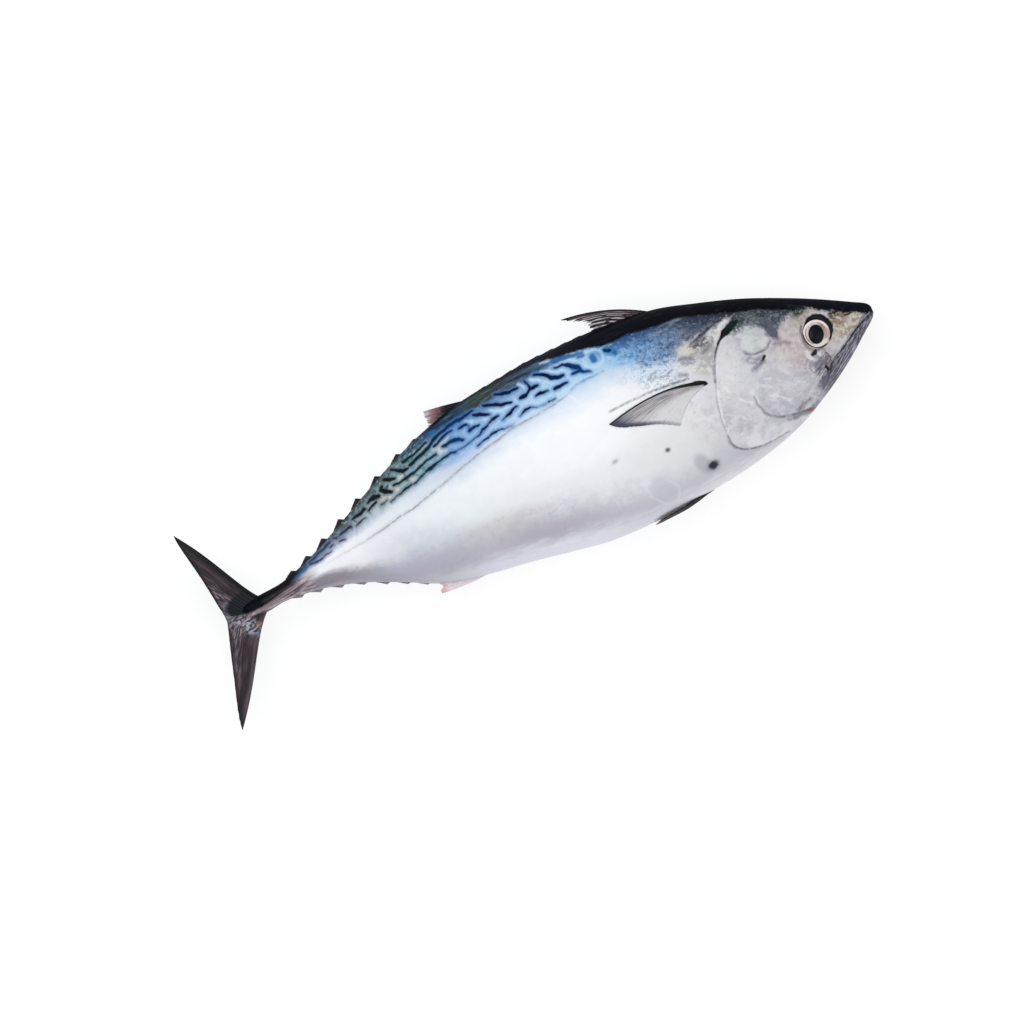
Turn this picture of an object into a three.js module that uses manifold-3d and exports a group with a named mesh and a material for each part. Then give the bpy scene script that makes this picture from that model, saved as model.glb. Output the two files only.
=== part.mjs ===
// A whole small tuna, uncut, lying on its left side with the right flank up.
//
// Everything is in millimetres. While the fish is being shaped, x runs forward from
// the tail to the snout, which is at x = 0, y runs from the belly to the back, and z
// from the left flank to the right one, with the middle plane of the fish at z = 0.
// The last step sets the fish down on its left flank, centred over the origin.
//
// Body and fins are one piece of flesh and skin, so they are one solid. The two
// eyeballs are solids of their own, each loose in its socket by a small gap.

import * as THREE from "three";
import { mergeVertices } from "three/addons/utils/BufferGeometryUtils.js";
import Module from "manifold-3d";

const wasm = await Module();
wasm.setup();

// ---------------------------------------------------------------- driving sizes

const BODY_LENGTH = 444; // snout to the fleshy end inside the tail fin

// Distance behind the snout, height of the back over the axis, depth of the belly
// under it and half the thickness from flank to flank.
const STATIONS = [
  { behind: 0, back: 2.4, belly: -2.2, half: 1.4 },
  { behind: 1.8, back: 4.8, belly: -4.9, half: 3.6 },
  { behind: 9, back: 9.2, belly: -10.4, half: 7.4 },
  { behind: 27, back: 19.6, belly: -23.4, half: 16.0 },
  { behind: 45, back: 29.0, belly: -34.2, half: 22.8 },
  { behind: 72, back: 41.4, belly: -47.0, half: 30.0 },
  { behind: 99, back: 51.0, belly: -54.6, half: 35.2 },
  { behind: 126, back: 59.0, belly: -59.0, half: 38.6 },
  { behind: 153, back: 62.4, belly: -61.4, half: 40.4 },
  { behind: 180, back: 63.7, belly: -62.9, half: 41.0 },
  { behind: 207, back: 63.6, belly: -62.1, half: 40.0 },
  { behind: 234, back: 61.3, belly: -57.7, half: 37.2 },
  { behind: 261, back: 58.2, belly: -52.3, half: 32.8 },
  { behind: 288, back: 51.6, belly: -47.9, half: 27.4 },
  { behind: 315, back: 42.0, belly: -41.6, half: 21.4 },
  { behind: 342, back: 30.2, belly: -28.4, half: 15.6 },
  { behind: 369, back: 17.8, belly: -16.4, half: 10.6 },
  { behind: 396, back: 7.4, belly: -9.6, half: 7.2 },
  { behind: 414, back: 3.2, belly: -8.0, half: 5.8 },
  { behind: 426, back: 2.6, belly: -9.2, half: 4.6 },
  { behind: 436, back: 1.6, belly: -7.6, half: 3.0 },
  { behind: BODY_LENGTH, back: -2.4, belly: -3.6, half: 0.4 },
];
const ROUNDNESS = 2.2; // 2 is an ellipse, and more is a fuller section

const PRESSED_FLAT = 1.8; // how deep the left flank is pressed flat by the weight

// Eyeballs. Only the part of each that stands out of the cheek shows.
const EYE_BEHIND = 38.6;
const EYE_ABOVE = 1.0;
const EYE_HALF_LENGTH = 11.4;
const EYE_HALF_HEIGHT = 11.6;
const EYE_HALF_DEPTH = 6.5;
const EYE_BULGE = 2.0; // how far an eyeball stands out of the cheek
const EYE_TURN = 0.34; // radians that an eye looks forward, with the cheek's taper
const SOCKET_GAP = 0.35;

// Gill covers: plates that swell out of the cheeks and end in this free edge
const GILL_COVER_STEP = 1.3;
const GILL_COVER_FRONT = 50;
const GILL_EDGE = [
  [58, 43.0],
  [72, 38.6],
  [85.3, 31.1],
  [95.2, 23.4],
  [102.8, 14.5],
  [109.2, 2.0],
  [114.6, -12.6],
  [116.8, -27.1],
  [116.6, -38.1],
  [113.0, -43.7],
  [104.0, -47.6],
  [90.3, -48.6],
  [66.0, -45.0],
];

// The closed mouth is a crease that runs back from the snout
const MOUTH = [
  [-6, 0.6],
  [5.9, -3.3],
  [14.8, -6.9],
  [29.0, -15.8],
  [41.0, -25.4],
];
const MOUTH_WIDTH = 0.9;
const MOUTH_DEPTH = 1.5;

// Keels: a ridge on each side of the thin root of the tail
const KEEL = { behind: 416, above: -3.4, halfLength: 27, halfHeight: 1.9, reach: 8.6, dip: 0.16 };

// Fins. A fin is a fan of rays from its base, front to rear, out to its margin. bow
// is how far a ray is pulled off its straight line at most, from the first ray to the
// last one, and nearBase sets where that is: 1 is halfway out, and more is nearer the
// base. Points are [behind the snout, above the axis].
const TAIL_FIN = {
  base: [[419, -0.5], [434, -1.5], [439, -3], [434, -4.5], [419, -6.5]],
  margin: [
    [459.2, 59.8], [458.6, 50.8], [455.0, 27.9], [452.9, 9.6], [451.8, -2.0],
    [453.4, -9.0], [456.8, -18.8], [464.1, -40.7], [470.6, -60.5], [472.4, -70.2],
  ],
  bow: [[0, -9.4], [0, 0], [0, 7.2]],
  nearBase: 3,
  thickness: 4.6,
  rays: 24,
  steps: 8,
};
const FIRST_DORSAL_FIN = {
  base: [[121, 54], [134, 57], [152, 59.5]],
  margin: [[180.8, 78.0], [174.5, 74.0], [168.2, 70.8], [166.2, 67.0], [166.0, 62.6]],
  bow: [[-2, 4.2], [0, 1]],
  nearBase: 1,
  thickness: 2.0,
  rays: 10,
  steps: 7,
};
const SECOND_DORSAL_FIN = {
  base: [[252, 57.0], [264, 54.0], [277, 49.5]],
  margin: [[283.4, 62.9], [284.2, 59.4], [284.0, 55.2], [287.0, 50.8]],
  bow: [[0, 0.4], [0, 0]],
  nearBase: 1,
  thickness: 2.0,
  rays: 6,
  steps: 5,
};
const ANAL_FIN = {
  base: [[283, -46.6], [300, -43.0], [313, -39.0]],
  margin: [[321.4, -45.9], [321.6, -43.6], [319.4, -41.8], [322.0, -38.0]],
  bow: [[0, -1.2], [0, 0]],
  nearBase: 1,
  thickness: 2.0,
  rays: 6,
  steps: 5,
};
// Lies on the flank
const PECTORAL_FIN = {
  base: [[114.6, 3.8], [117.5, 1.8], [121.5, 0.4]],
  margin: [[181.4, 5.2], [176.0, 0.6], [165.5, -3.6], [153.0, -8.0], [141.2, -14.6]],
  bow: [[-3, 5.2], [1, 1.8]],
  nearBase: 1,
  thickness: 1.3,
  rays: 10,
  steps: 7,
};
// Folded back under the belly. Its second number is degrees round the section from
// the keel of the belly, so it is the same fan laid on the skin.
const PELVIC_FIN = {
  base: [[138.5, 3.0], [139.5, 4.2], [141.0, 5.4]],
  margin: [[181.5, 3.0], [180.5, 9.0], [175.0, 14.5], [160.0, 14.0]],
  bow: [[0, 0.2], [0, 2.0]],
  nearBase: 1,
  thickness: 3.2,
  rays: 5,
  steps: 7,
};

// Finlets: [behind the snout, height] of each peak
const DORSAL_FINLETS = [
  [296.6, 1.0], [310.6, 2.4], [328.5, 3.0], [345.5, 3.2], [360.9, 3.3], [375.6, 3.2], [389.2, 2.8],
  [401.6, 2.2],
];
const VENTRAL_FINLETS = [
  [327.5, 0.9], [338.5, 1.2], [350.5, 1.5], [363.5, 1.5], [377.2, 1.7], [390.4, 1.9], [402.5, 1.6],
];
const FINLET_RISE = 4.8; // along the body, base to peak
const FINLET_FALL = 6.8; // peak to the rear end of the base
const FINLET_THICKNESS = 1.3;

// Low spines of the first dorsal fin that lie folded in its groove
const FOLDED_SPINES = { from: 174, to: 242, count: 8, height: 0.5 };

const RINGS = 72; // along the body
const SIDES = 32; // round it

// ---------------------------------------------------------------- small helpers

// A smooth curve through [distance, value] pairs that never overshoots them.
function smoothThrough(pairs) {
  const gaps = pairs.slice(1).map(([x], i) => x - pairs[i][0]);
  const slopes = pairs.slice(1).map(([, y], i) => (y - pairs[i][1]) / gaps[i]);
  const tangents = pairs.map((_, i) => {
    if (i === 0) return slopes[0];
    if (i === slopes.length) return slopes[i - 1];
    const [before, after] = [slopes[i - 1], slopes[i]];
    return before * after <= 0 ? 0 : (2 * before * after) / (before + after);
  });
  return (distance) => {
    const next = pairs.findIndex(([x], k) => k > 0 && distance <= x);
    const i = next < 0 ? gaps.length - 1 : next - 1;
    const t = THREE.MathUtils.clamp((distance - pairs[i][0]) / gaps[i], 0, 1);
    const rest = 1 - t;
    return (
      pairs[i][1] * (1 + 2 * t) * rest * rest +
      gaps[i] * tangents[i] * t * rest * rest +
      pairs[i + 1][1] * t * t * (3 - 2 * t) -
      gaps[i] * tangents[i + 1] * t * t * rest
    );
  };
}

const profile = (key) => smoothThrough(STATIONS.map((s) => [s.behind, s[key]]));
const backAt = profile("back");
const bellyAt = profile("belly");
const halfAt = profile("half");

// A point on the skin, and how the skin faces there in its cross-section. angle is 0
// on the back, a quarter turn on the right flank and half a turn on the belly.
function onSkin(behind, angle, grow = { half: 0, tall: 0 }) {
  const back = backAt(behind) + grow.tall;
  const belly = bellyAt(behind) - grow.tall;
  const middle = (back + belly) / 2;
  const tall = Math.max((back - belly) / 2, 0.1);
  const half = Math.max(halfAt(behind) + grow.half, 0.1);
  const power = (v) => Math.sign(v) * Math.abs(v) ** (2 / ROUNDNESS);
  const [up, out] = [power(Math.cos(angle)), power(Math.sin(angle))];
  const lean = (v) => Math.sign(v) * Math.abs(v) ** (ROUNDNESS - 1);
  const facing = new THREE.Vector3(0, lean(up) / tall, lean(out) / half).normalize();
  return { point: new THREE.Vector3(-behind, middle + tall * up, half * out), facing };
}

// The angle round the section at which the right flank is this far above the axis
function angleAt(behind, above) {
  const [back, belly] = [backAt(behind), bellyAt(behind)];
  const share = THREE.MathUtils.clamp((2 * above - back - belly) / (back - belly), -1, 1);
  return Math.acos(Math.sign(share) * Math.abs(share) ** (ROUNDNESS / 2));
}

// A geometry as a solid that can be joined and cut
function solid(geometry) {
  const bare = geometry.clone();
  bare.deleteAttribute("normal");
  bare.deleteAttribute("uv");
  const merged = mergeVertices(bare, 1e-4);
  return new wasm.Manifold(
    new wasm.Mesh({
      numProp: 3,
      vertProperties: merged.attributes.position.array,
      triVerts: new Uint32Array(merged.index.array),
    }),
  );
}

function geometryOf(manifold) {
  const mesh = manifold.getMesh();
  return new THREE.BufferGeometry()
    .setAttribute("position", new THREE.BufferAttribute(mesh.vertProperties, 3))
    .setIndex(new THREE.BufferAttribute(mesh.triVerts, 1));
}

// Moves every vertex of a geometry to the place that a function gives it
function reshape(geometry, place) {
  const position = geometry.attributes.position;
  const vertex = new THREE.Vector3();
  for (let i = 0; i < position.count; i++) {
    vertex.fromBufferAttribute(position, i);
    position.setXYZ(i, ...place(vertex).toArray());
  }
  return geometry;
}

// ---------------------------------------------------------------- body

// A sphere drawn out into the fish's body. grow(behind) makes it thicker or thinner.
function bodyForm(grow = () => ({ half: 0, tall: 0 })) {
  const nosePull = 1.4; // over 1 draws the rings together at the snout
  const sphere = new THREE.SphereGeometry(1, SIDES, RINGS);
  return reshape(sphere, ({ x, y, z }) => {
    const share = Math.acos(THREE.MathUtils.clamp(y, -1, 1)) / Math.PI;
    const behind = BODY_LENGTH * share ** nosePull;
    if (Math.hypot(x, z) < 1e-6) return new THREE.Vector3(-behind, (backAt(behind) + bellyAt(behind)) / 2, 0);
    return onSkin(behind, Math.atan2(-z, x), grow(behind)).point;
  });
}

// Both gill covers. In front they start under the skin, so they swell out of it.
function gillCovers() {
  const thicker = bodyForm((behind) => {
    const share = THREE.MathUtils.smoothstep(behind, GILL_COVER_FRONT, GILL_COVER_FRONT + 45);
    return { half: THREE.MathUtils.lerp(-0.4, GILL_COVER_STEP, share), tall: 0.1 };
  });
  const outline = new THREE.Shape([
    new THREE.Vector2(-GILL_COVER_FRONT, 43),
    ...new THREE.SplineCurve(GILL_EDGE.map(([b, a]) => new THREE.Vector2(-b, a))).getPoints(40),
    new THREE.Vector2(-GILL_COVER_FRONT, -40),
  ]);
  const width = 120;
  const cutter = new THREE.ExtrudeGeometry(outline, { depth: width, bevelEnabled: false });
  return solid(thicker).intersect(solid(cutter.translate(0, 0, -width / 2)));
}

// The crease between the jaws: a ribbon along the mouth that reaches MOUTH_DEPTH in
function mouthCrease() {
  const line = new THREE.SplineCurve(MOUTH.map(([b, a]) => new THREE.Vector2(-b, a))).getPoints(10);
  const side = (sign) =>
    line.map((p, i) => {
      const [before, after] = [line[Math.max(i - 1, 0)], line[Math.min(i + 1, line.length - 1)]];
      const along = after.clone().sub(before).normalize();
      return new THREE.Vector2(p.x - (along.y * sign * MOUTH_WIDTH) / 2, p.y + (along.x * sign * MOUTH_WIDTH) / 2);
    });
  const width = 80;
  const ribbon = new THREE.ExtrudeGeometry(new THREE.Shape([...side(1), ...side(-1).reverse()]), {
    depth: width,
    bevelEnabled: false,
  });
  const core = bodyForm((behind) => {
    const share = THREE.MathUtils.smoothstep(behind, 0, 6);
    return { half: -MOUTH_DEPTH * share, tall: -MOUTH_DEPTH * share };
  });
  return solid(ribbon.translate(0, 0, -width / 2)).subtract(solid(core));
}

function keels() {
  const ridge = new THREE.SphereGeometry(1, 16, 10)
    .scale(KEEL.halfLength, KEEL.halfHeight, KEEL.reach)
    .rotateZ(KEEL.dip)
    .translate(-KEEL.behind, KEEL.above, 0);
  return solid(ridge);
}

// ---------------------------------------------------------------- fins

// A fin's point at a share across the fan, front to rear, and a share out along a ray
function fanPoint(fin) {
  const curve = (points) => new THREE.SplineCurve(points.map((p) => new THREE.Vector2(...p)));
  const [base, margin] = [curve(fin.base), curve(fin.margin)];
  const bows = fin.bow.map((p) => new THREE.Vector2(...p));
  const hump = (out) => out * (1 - out) ** fin.nearBase;
  const highest = hump(1 / (1 + fin.nearBase));
  return (across, out) => {
    const [from, to] = [base.getPoint(across), margin.getPoint(across)];
    const place = across * (bows.length - 1);
    const i = Math.min(Math.floor(place), bows.length - 2);
    const bow = bows[i].clone().lerp(bows[i + 1], place - i);
    return from.lerp(to, out).addScaledVector(bow, hump(out) / highest);
  };
}

// How thick a fin is, as a share: stout at its base and front ray, thin at its margin.
// twoFronts is for the tail, whose last ray is a leading one too.
function fanThickness(across, out, twoFronts) {
  const thinnest = 0.22;
  const nearest = twoFronts ? Math.min(across, 1 - across) : across;
  const edge = Math.min(1, 0.35 + nearest * 9);
  const rear = twoFronts ? 1 : 1 - 0.5 * across;
  return Math.max(thinnest, edge * rear * (1 - 0.85 * out ** 0.8));
}

// A box with the fan's rays and steps in it. lay says where a point of it goes in
// space: it is given the point on the fan and the offset from its middle surface.
function finForm(fin, lay, twoFronts = false) {
  const at = fanPoint(fin);
  const box = new THREE.BoxGeometry(1, 1, 1, fin.rays, fin.steps, 1);
  return reshape(box, ({ x, y, z }) => {
    const [across, out] = [x + 0.5, y + 0.5];
    const offset = z * fin.thickness * fanThickness(across, out, twoFronts);
    return lay(at(across, out), offset);
  });
}

// In the middle plane of the fish
const upright = (point, offset) => new THREE.Vector3(-point.x, point.y, offset);

// On the skin of one flank. rooted keeps the inner face under the skin.
function onFlank(right, rooted = 1.2) {
  return ({ x: behind, y: above }, offset) => {
    const { point, facing } = onSkin(behind, angleAt(behind, above));
    const lift = offset > 0 ? 0.45 + offset : -rooted;
    point.addScaledVector(facing, lift);
    if (!right) point.z = -point.z;
    return point;
  };
}

// Under the belly, on the right or the left of its middle line
function underBelly(right, rooted = 1.2) {
  return ({ x: behind, y: degrees }, offset) => {
    const round = (right ? -1 : 1) * THREE.MathUtils.degToRad(degrees);
    const { point, facing } = onSkin(behind, Math.PI + round);
    const stand = 1.5 * THREE.MathUtils.smoothstep(behind, 142, 160);
    return point.addScaledVector(facing, offset > 0 ? offset + stand : -rooted);
  };
}

// Turns the faces of a geometry that a mirroring layout has turned inside out
function outward(geometry) {
  const made = solid(geometry);
  if (made.volume() > 0) return made;
  const index = geometry.index.array;
  for (let i = 0; i < index.length; i += 3) {
    [index[i + 1], index[i + 2]] = [index[i + 2], index[i + 1]];
  }
  return solid(geometry);
}

// A small sail on the back or the belly, its peak nearer its front
function finlet(peak, height, profileAt, side) {
  const sunk = side * 1.6;
  const [front, rear] = [peak - FINLET_RISE, peak + FINLET_FALL];
  const top = [peak, profileAt(peak) + side * height];
  const form = {
    base: [[front, profileAt(front) - sunk], [peak, profileAt(peak) - sunk], [rear, profileAt(rear) - sunk]],
    margin: [top, [(peak + rear) / 2, (top[1] + profileAt(rear)) / 2], [rear, profileAt(rear) - side * 0.2]],
    bow: [[0, 0], [0, 0]],
    nearBase: 1,
    thickness: FINLET_THICKNESS,
    rays: 3,
    steps: 2,
  };
  return outward(finForm(form, upright));
}

function foldedSpines() {
  const { from, to, count, height } = FOLDED_SPINES;
  return Array.from({ length: count }, (_, i) => from + ((to - from) * i) / (count - 1)).map((behind) =>
    finlet(behind, height, backAt, 1),
  );
}

function fins() {
  return [
    outward(finForm(TAIL_FIN, upright, true)),
    ...[FIRST_DORSAL_FIN, SECOND_DORSAL_FIN, ANAL_FIN].map((fin) => outward(finForm(fin, upright))),
    ...[true, false].map((right) => outward(finForm(PECTORAL_FIN, onFlank(right)))),
    ...[true, false].map((right) => outward(finForm(PELVIC_FIN, underBelly(right)))),
    ...DORSAL_FINLETS.map(([peak, height]) => finlet(peak, height, backAt, 1)),
    ...VENTRAL_FINLETS.map(([peak, height]) => finlet(peak, height, bellyAt, -1)),
    ...foldedSpines(),
  ];
}

// ---------------------------------------------------------------- eyes

// An eyeball, or with gap its socket, on the right (side 1) or the left (side -1)
function eyeForm(side, gap = 0) {
  const { point } = onSkin(EYE_BEHIND, angleAt(EYE_BEHIND, EYE_ABOVE));
  return new THREE.SphereGeometry(1, 22, 14)
    .rotateX(Math.PI / 2)
    .scale(EYE_HALF_LENGTH + gap, EYE_HALF_HEIGHT + gap, EYE_HALF_DEPTH + gap)
    .rotateY(side * EYE_TURN)
    .translate(-EYE_BEHIND, EYE_ABOVE, side * (point.z + EYE_BULGE - EYE_HALF_DEPTH));
}

// ---------------------------------------------------------------- the fish

const floorZ = PRESSED_FLAT - Math.max(...STATIONS.map((s) => s.half));

function pressedFlat(manifold) {
  const under = new THREE.BoxGeometry(700, 400, 100).translate(-BODY_LENGTH / 2, 0, floorZ - 50);
  return manifold.subtract(solid(under));
}

function wholeFish() {
  let fish = solid(bodyForm()).add(gillCovers()).add(keels());
  for (const fin of fins()) fish = fish.add(fin);
  fish = fish.subtract(mouthCrease());
  for (const side of [1, -1]) fish = fish.subtract(solid(eyeForm(side, SOCKET_GAP)));
  return geometryOf(pressedFlat(fish));
}

const skin = new THREE.MeshStandardMaterial({ color: 0xb9c3cf, roughness: 0.32, metalness: 0.35 });
const eye = new THREE.MeshStandardMaterial({ color: 0x1a2226, roughness: 0.06, metalness: 0.0 });

function named(name, geometry, material) {
  const mesh = new THREE.Mesh(geometry, material);
  mesh.name = name;
  return mesh;
}

const tuna = new THREE.Group();
tuna.add(
  named("fish", wholeFish(), skin),
  named("eye_right", eyeForm(1), eye),
  named("eye_left", eyeForm(-1), eye),
);

// Down on its flank, with the origin under the middle of the fish
const box = new THREE.Box3().setFromObject(tuna);
const middle = box.getCenter(new THREE.Vector3());
tuna.position.set(-middle.x, -middle.y, -box.min.z);

export default tuna;
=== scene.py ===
"""A whole small tuna, fresh and uncut, lying on its left side on a pale floor."""

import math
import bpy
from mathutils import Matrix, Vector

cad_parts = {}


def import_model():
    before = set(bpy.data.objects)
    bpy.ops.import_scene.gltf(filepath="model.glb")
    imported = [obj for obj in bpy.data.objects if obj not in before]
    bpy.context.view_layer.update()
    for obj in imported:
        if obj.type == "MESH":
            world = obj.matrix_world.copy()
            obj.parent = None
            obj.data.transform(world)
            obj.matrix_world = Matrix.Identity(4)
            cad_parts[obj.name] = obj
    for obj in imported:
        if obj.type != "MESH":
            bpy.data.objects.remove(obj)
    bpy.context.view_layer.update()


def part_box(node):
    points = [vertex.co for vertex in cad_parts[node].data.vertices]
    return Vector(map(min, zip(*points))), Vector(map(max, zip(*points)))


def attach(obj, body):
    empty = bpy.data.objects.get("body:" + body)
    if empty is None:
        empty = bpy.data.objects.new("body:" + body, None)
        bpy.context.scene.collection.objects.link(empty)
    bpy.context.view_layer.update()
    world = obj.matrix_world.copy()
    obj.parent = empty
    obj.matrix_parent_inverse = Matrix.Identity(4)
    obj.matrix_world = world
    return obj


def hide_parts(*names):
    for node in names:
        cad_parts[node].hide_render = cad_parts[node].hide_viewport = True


bl_info = {
    "name": "Whole small tuna",
    "version": (1, 0, 0),
    "blender": (4, 5, 0),
    "location": "3D View > Sidebar > Tuna",
    "description": "Models and paints a whole small tuna that lies on its side",
    "category": "Add Mesh",
}

import bmesh
import bpy
import numpy as np
from bpy.props import FloatProperty, FloatVectorProperty, IntProperty, PointerProperty
from bpy.types import Operator, Panel, PropertyGroup

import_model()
FISH_LOW, FISH_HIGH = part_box("fish")

# ------------------------------------------------------------------ the fish's own space
# Everything on the fish is measured in millimetres: behind the snout, above the axis that
# runs from the snout to the fork of the tail, and aside from its middle plane, with the
# right flank, which lies uppermost, on the plus side.

MM = 0.001
LOWER_TAIL_TIP = 70.2  # under the axis
FLANK_UNDER_MIDDLE = 39.2  # the pressed left flank, which lies on the floor
SNOUT_X = FISH_HIGH.x
AXIS_Y = FISH_LOW.y + LOWER_TAIL_TIP * MM
MIDDLE_Z = FISH_LOW.z + FLANK_UNDER_MIDDLE * MM

BODY_LENGTH = 444
ROUNDNESS = 2.2  # of the body's section: 2 is an ellipse, and more is fuller

# Behind the snout, height of the back, depth of the belly, half the thickness
STATIONS = [
    (0, 2.4, -2.2, 1.4),
    (1.8, 4.8, -4.9, 3.6),
    (9, 9.2, -10.4, 7.4),
    (27, 19.6, -23.4, 16.0),
    (45, 29.0, -34.2, 22.8),
    (72, 41.4, -47.0, 30.0),
    (99, 51.0, -54.6, 35.2),
    (126, 59.0, -59.0, 38.6),
    (153, 62.4, -61.4, 40.4),
    (180, 63.7, -62.9, 41.0),
    (207, 63.6, -62.1, 40.0),
    (234, 61.3, -57.7, 37.2),
    (261, 58.2, -52.3, 32.8),
    (288, 51.6, -47.9, 27.4),
    (315, 42.0, -41.6, 21.4),
    (342, 30.2, -28.4, 15.6),
    (369, 17.8, -16.4, 10.6),
    (396, 7.4, -9.6, 7.2),
    (414, 3.2, -8.0, 5.8),
    (426, 2.6, -9.2, 4.6),
    (436, 1.6, -7.6, 3.0),
    (BODY_LENGTH, -2.4, -3.6, 0.4),
]

# The free edge of the gill cover, from the nape down and forward under the throat
GILL_EDGE = [
    (66, 44.0),
    (72, 38.6),
    (85.3, 31.1),
    (95.2, 23.4),
    (102.8, 14.5),
    (109.2, 2.0),
    (114.6, -12.6),
    (116.8, -27.1),
    (116.6, -38.1),
    (113.0, -43.7),
    (104.0, -47.6),
    (90.3, -48.6),
    (66.0, -45.0),
]
LIP = 1.7  # how much of the gill cover rolls in at that edge

EYE = (38.6, 1.0)
EYEBALL = (11.4, 11.6, 6.5)  # its half sizes
EYE_TURN = 0.34  # towards the snout
ORBIT = (8.5, 8.7)  # the half sizes of its opening

KEEL = {"behind": 416, "above": -3.4, "length": 27, "height": 1.9, "reach": 8.6, "dip": 0.16}

# Where the colours change, as (behind, above) along the fish
BLACK_EDGE = [
    (0, -1.5), (5, -0.6), (10, 2.6), (15, 5), (20, 8), (25, 10.5), (30, 13), (35, 17.5), (40, 20),
    (45, 20.5), (50, 23), (60, 27.5), (65, 30.5), (75, 33.5), (90, 39), (105, 44), (115, 47.5),
    (130, 48.6), (150, 51.5), (158, 51), (165, 51.9), (173, 54.5), (187, 56.6), (197, 58.4),
    (207, 60.2), (225, 60), (245, 58.5), (258, 57), (268, 55), (280, 52), (290, 50.2), (300, 47.3),
    (310, 44), (320, 40), (335, 33.5), (350, 26.5), (365, 20), (380, 13), (392, 8.5), (402, 3.4),
    (412, 1), (430, -2),
]
DUSKY_EDGE = [
    (160, 53), (180, 55), (195, 55.5), (205, 54.5), (215, 54), (225, 52), (235, 52), (245, 50.8),
    (255, 50.3), (265, 49.5), (275, 48), (285, 46.8), (295, 44.8), (305, 42.5), (315, 39),
    (325, 35.5), (340, 29), (355, 22), (370, 15.5), (385, 9), (400, 3), (430, -3),
]
CROWN_EDGE = [
    (34, 16), (40, 17.4), (46, 18.6), (51, 18), (56, 16), (60, 12.5), (62.5, 8.5), (65, 8.5),
    (67, 15), (70, 19.5), (75, 22), (80, 24.5), (84, 28.5), (90, 34), (105, 33), (120, 30),
]
BLUE_EDGE = [
    (60, 29), (80, 32), (90, 33), (100, 31), (108, 30), (117, 30), (121, 26.5), (131, 24.5), (140, 26),
    (150, 30), (160, 34), (170, 37), (180, 35), (193, 33.8), (210, 32), (230, 31.2), (247, 29.5),
    (262, 27), (278, 25), (290, 25), (307, 21.5), (320, 19), (335, 15), (350, 12), (370, 8),
    (390, 4.6), (402, 1.5), (430, -3),
]
# Where the grey belt low on the flank begins: (behind, share of the depth)
BELT_EDGE = [
    (40, -0.6), (110, -0.62), (130, -0.72), (165, -0.7), (200, -0.6), (230, -0.53), (260, -0.5),
    (300, -0.44), (320, -0.42), (340, -0.5), (362, -0.48), (380, -0.25), (400, -0.2),
]
LATERAL_LINE = [
    (189.9, 36.0), (198, 33.0), (206.3, 31.4), (227.7, 29.6), (239, 28.6), (251.3, 25.9), (264.1, 23.6),
    (280.2, 19.2), (290, 16.4), (302.8, 13.4), (315, 10.2), (326, 9.0), (335, 7.0), (351.4, 4.6),
    (372, 3.0), (393, 1.6),
]

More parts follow.
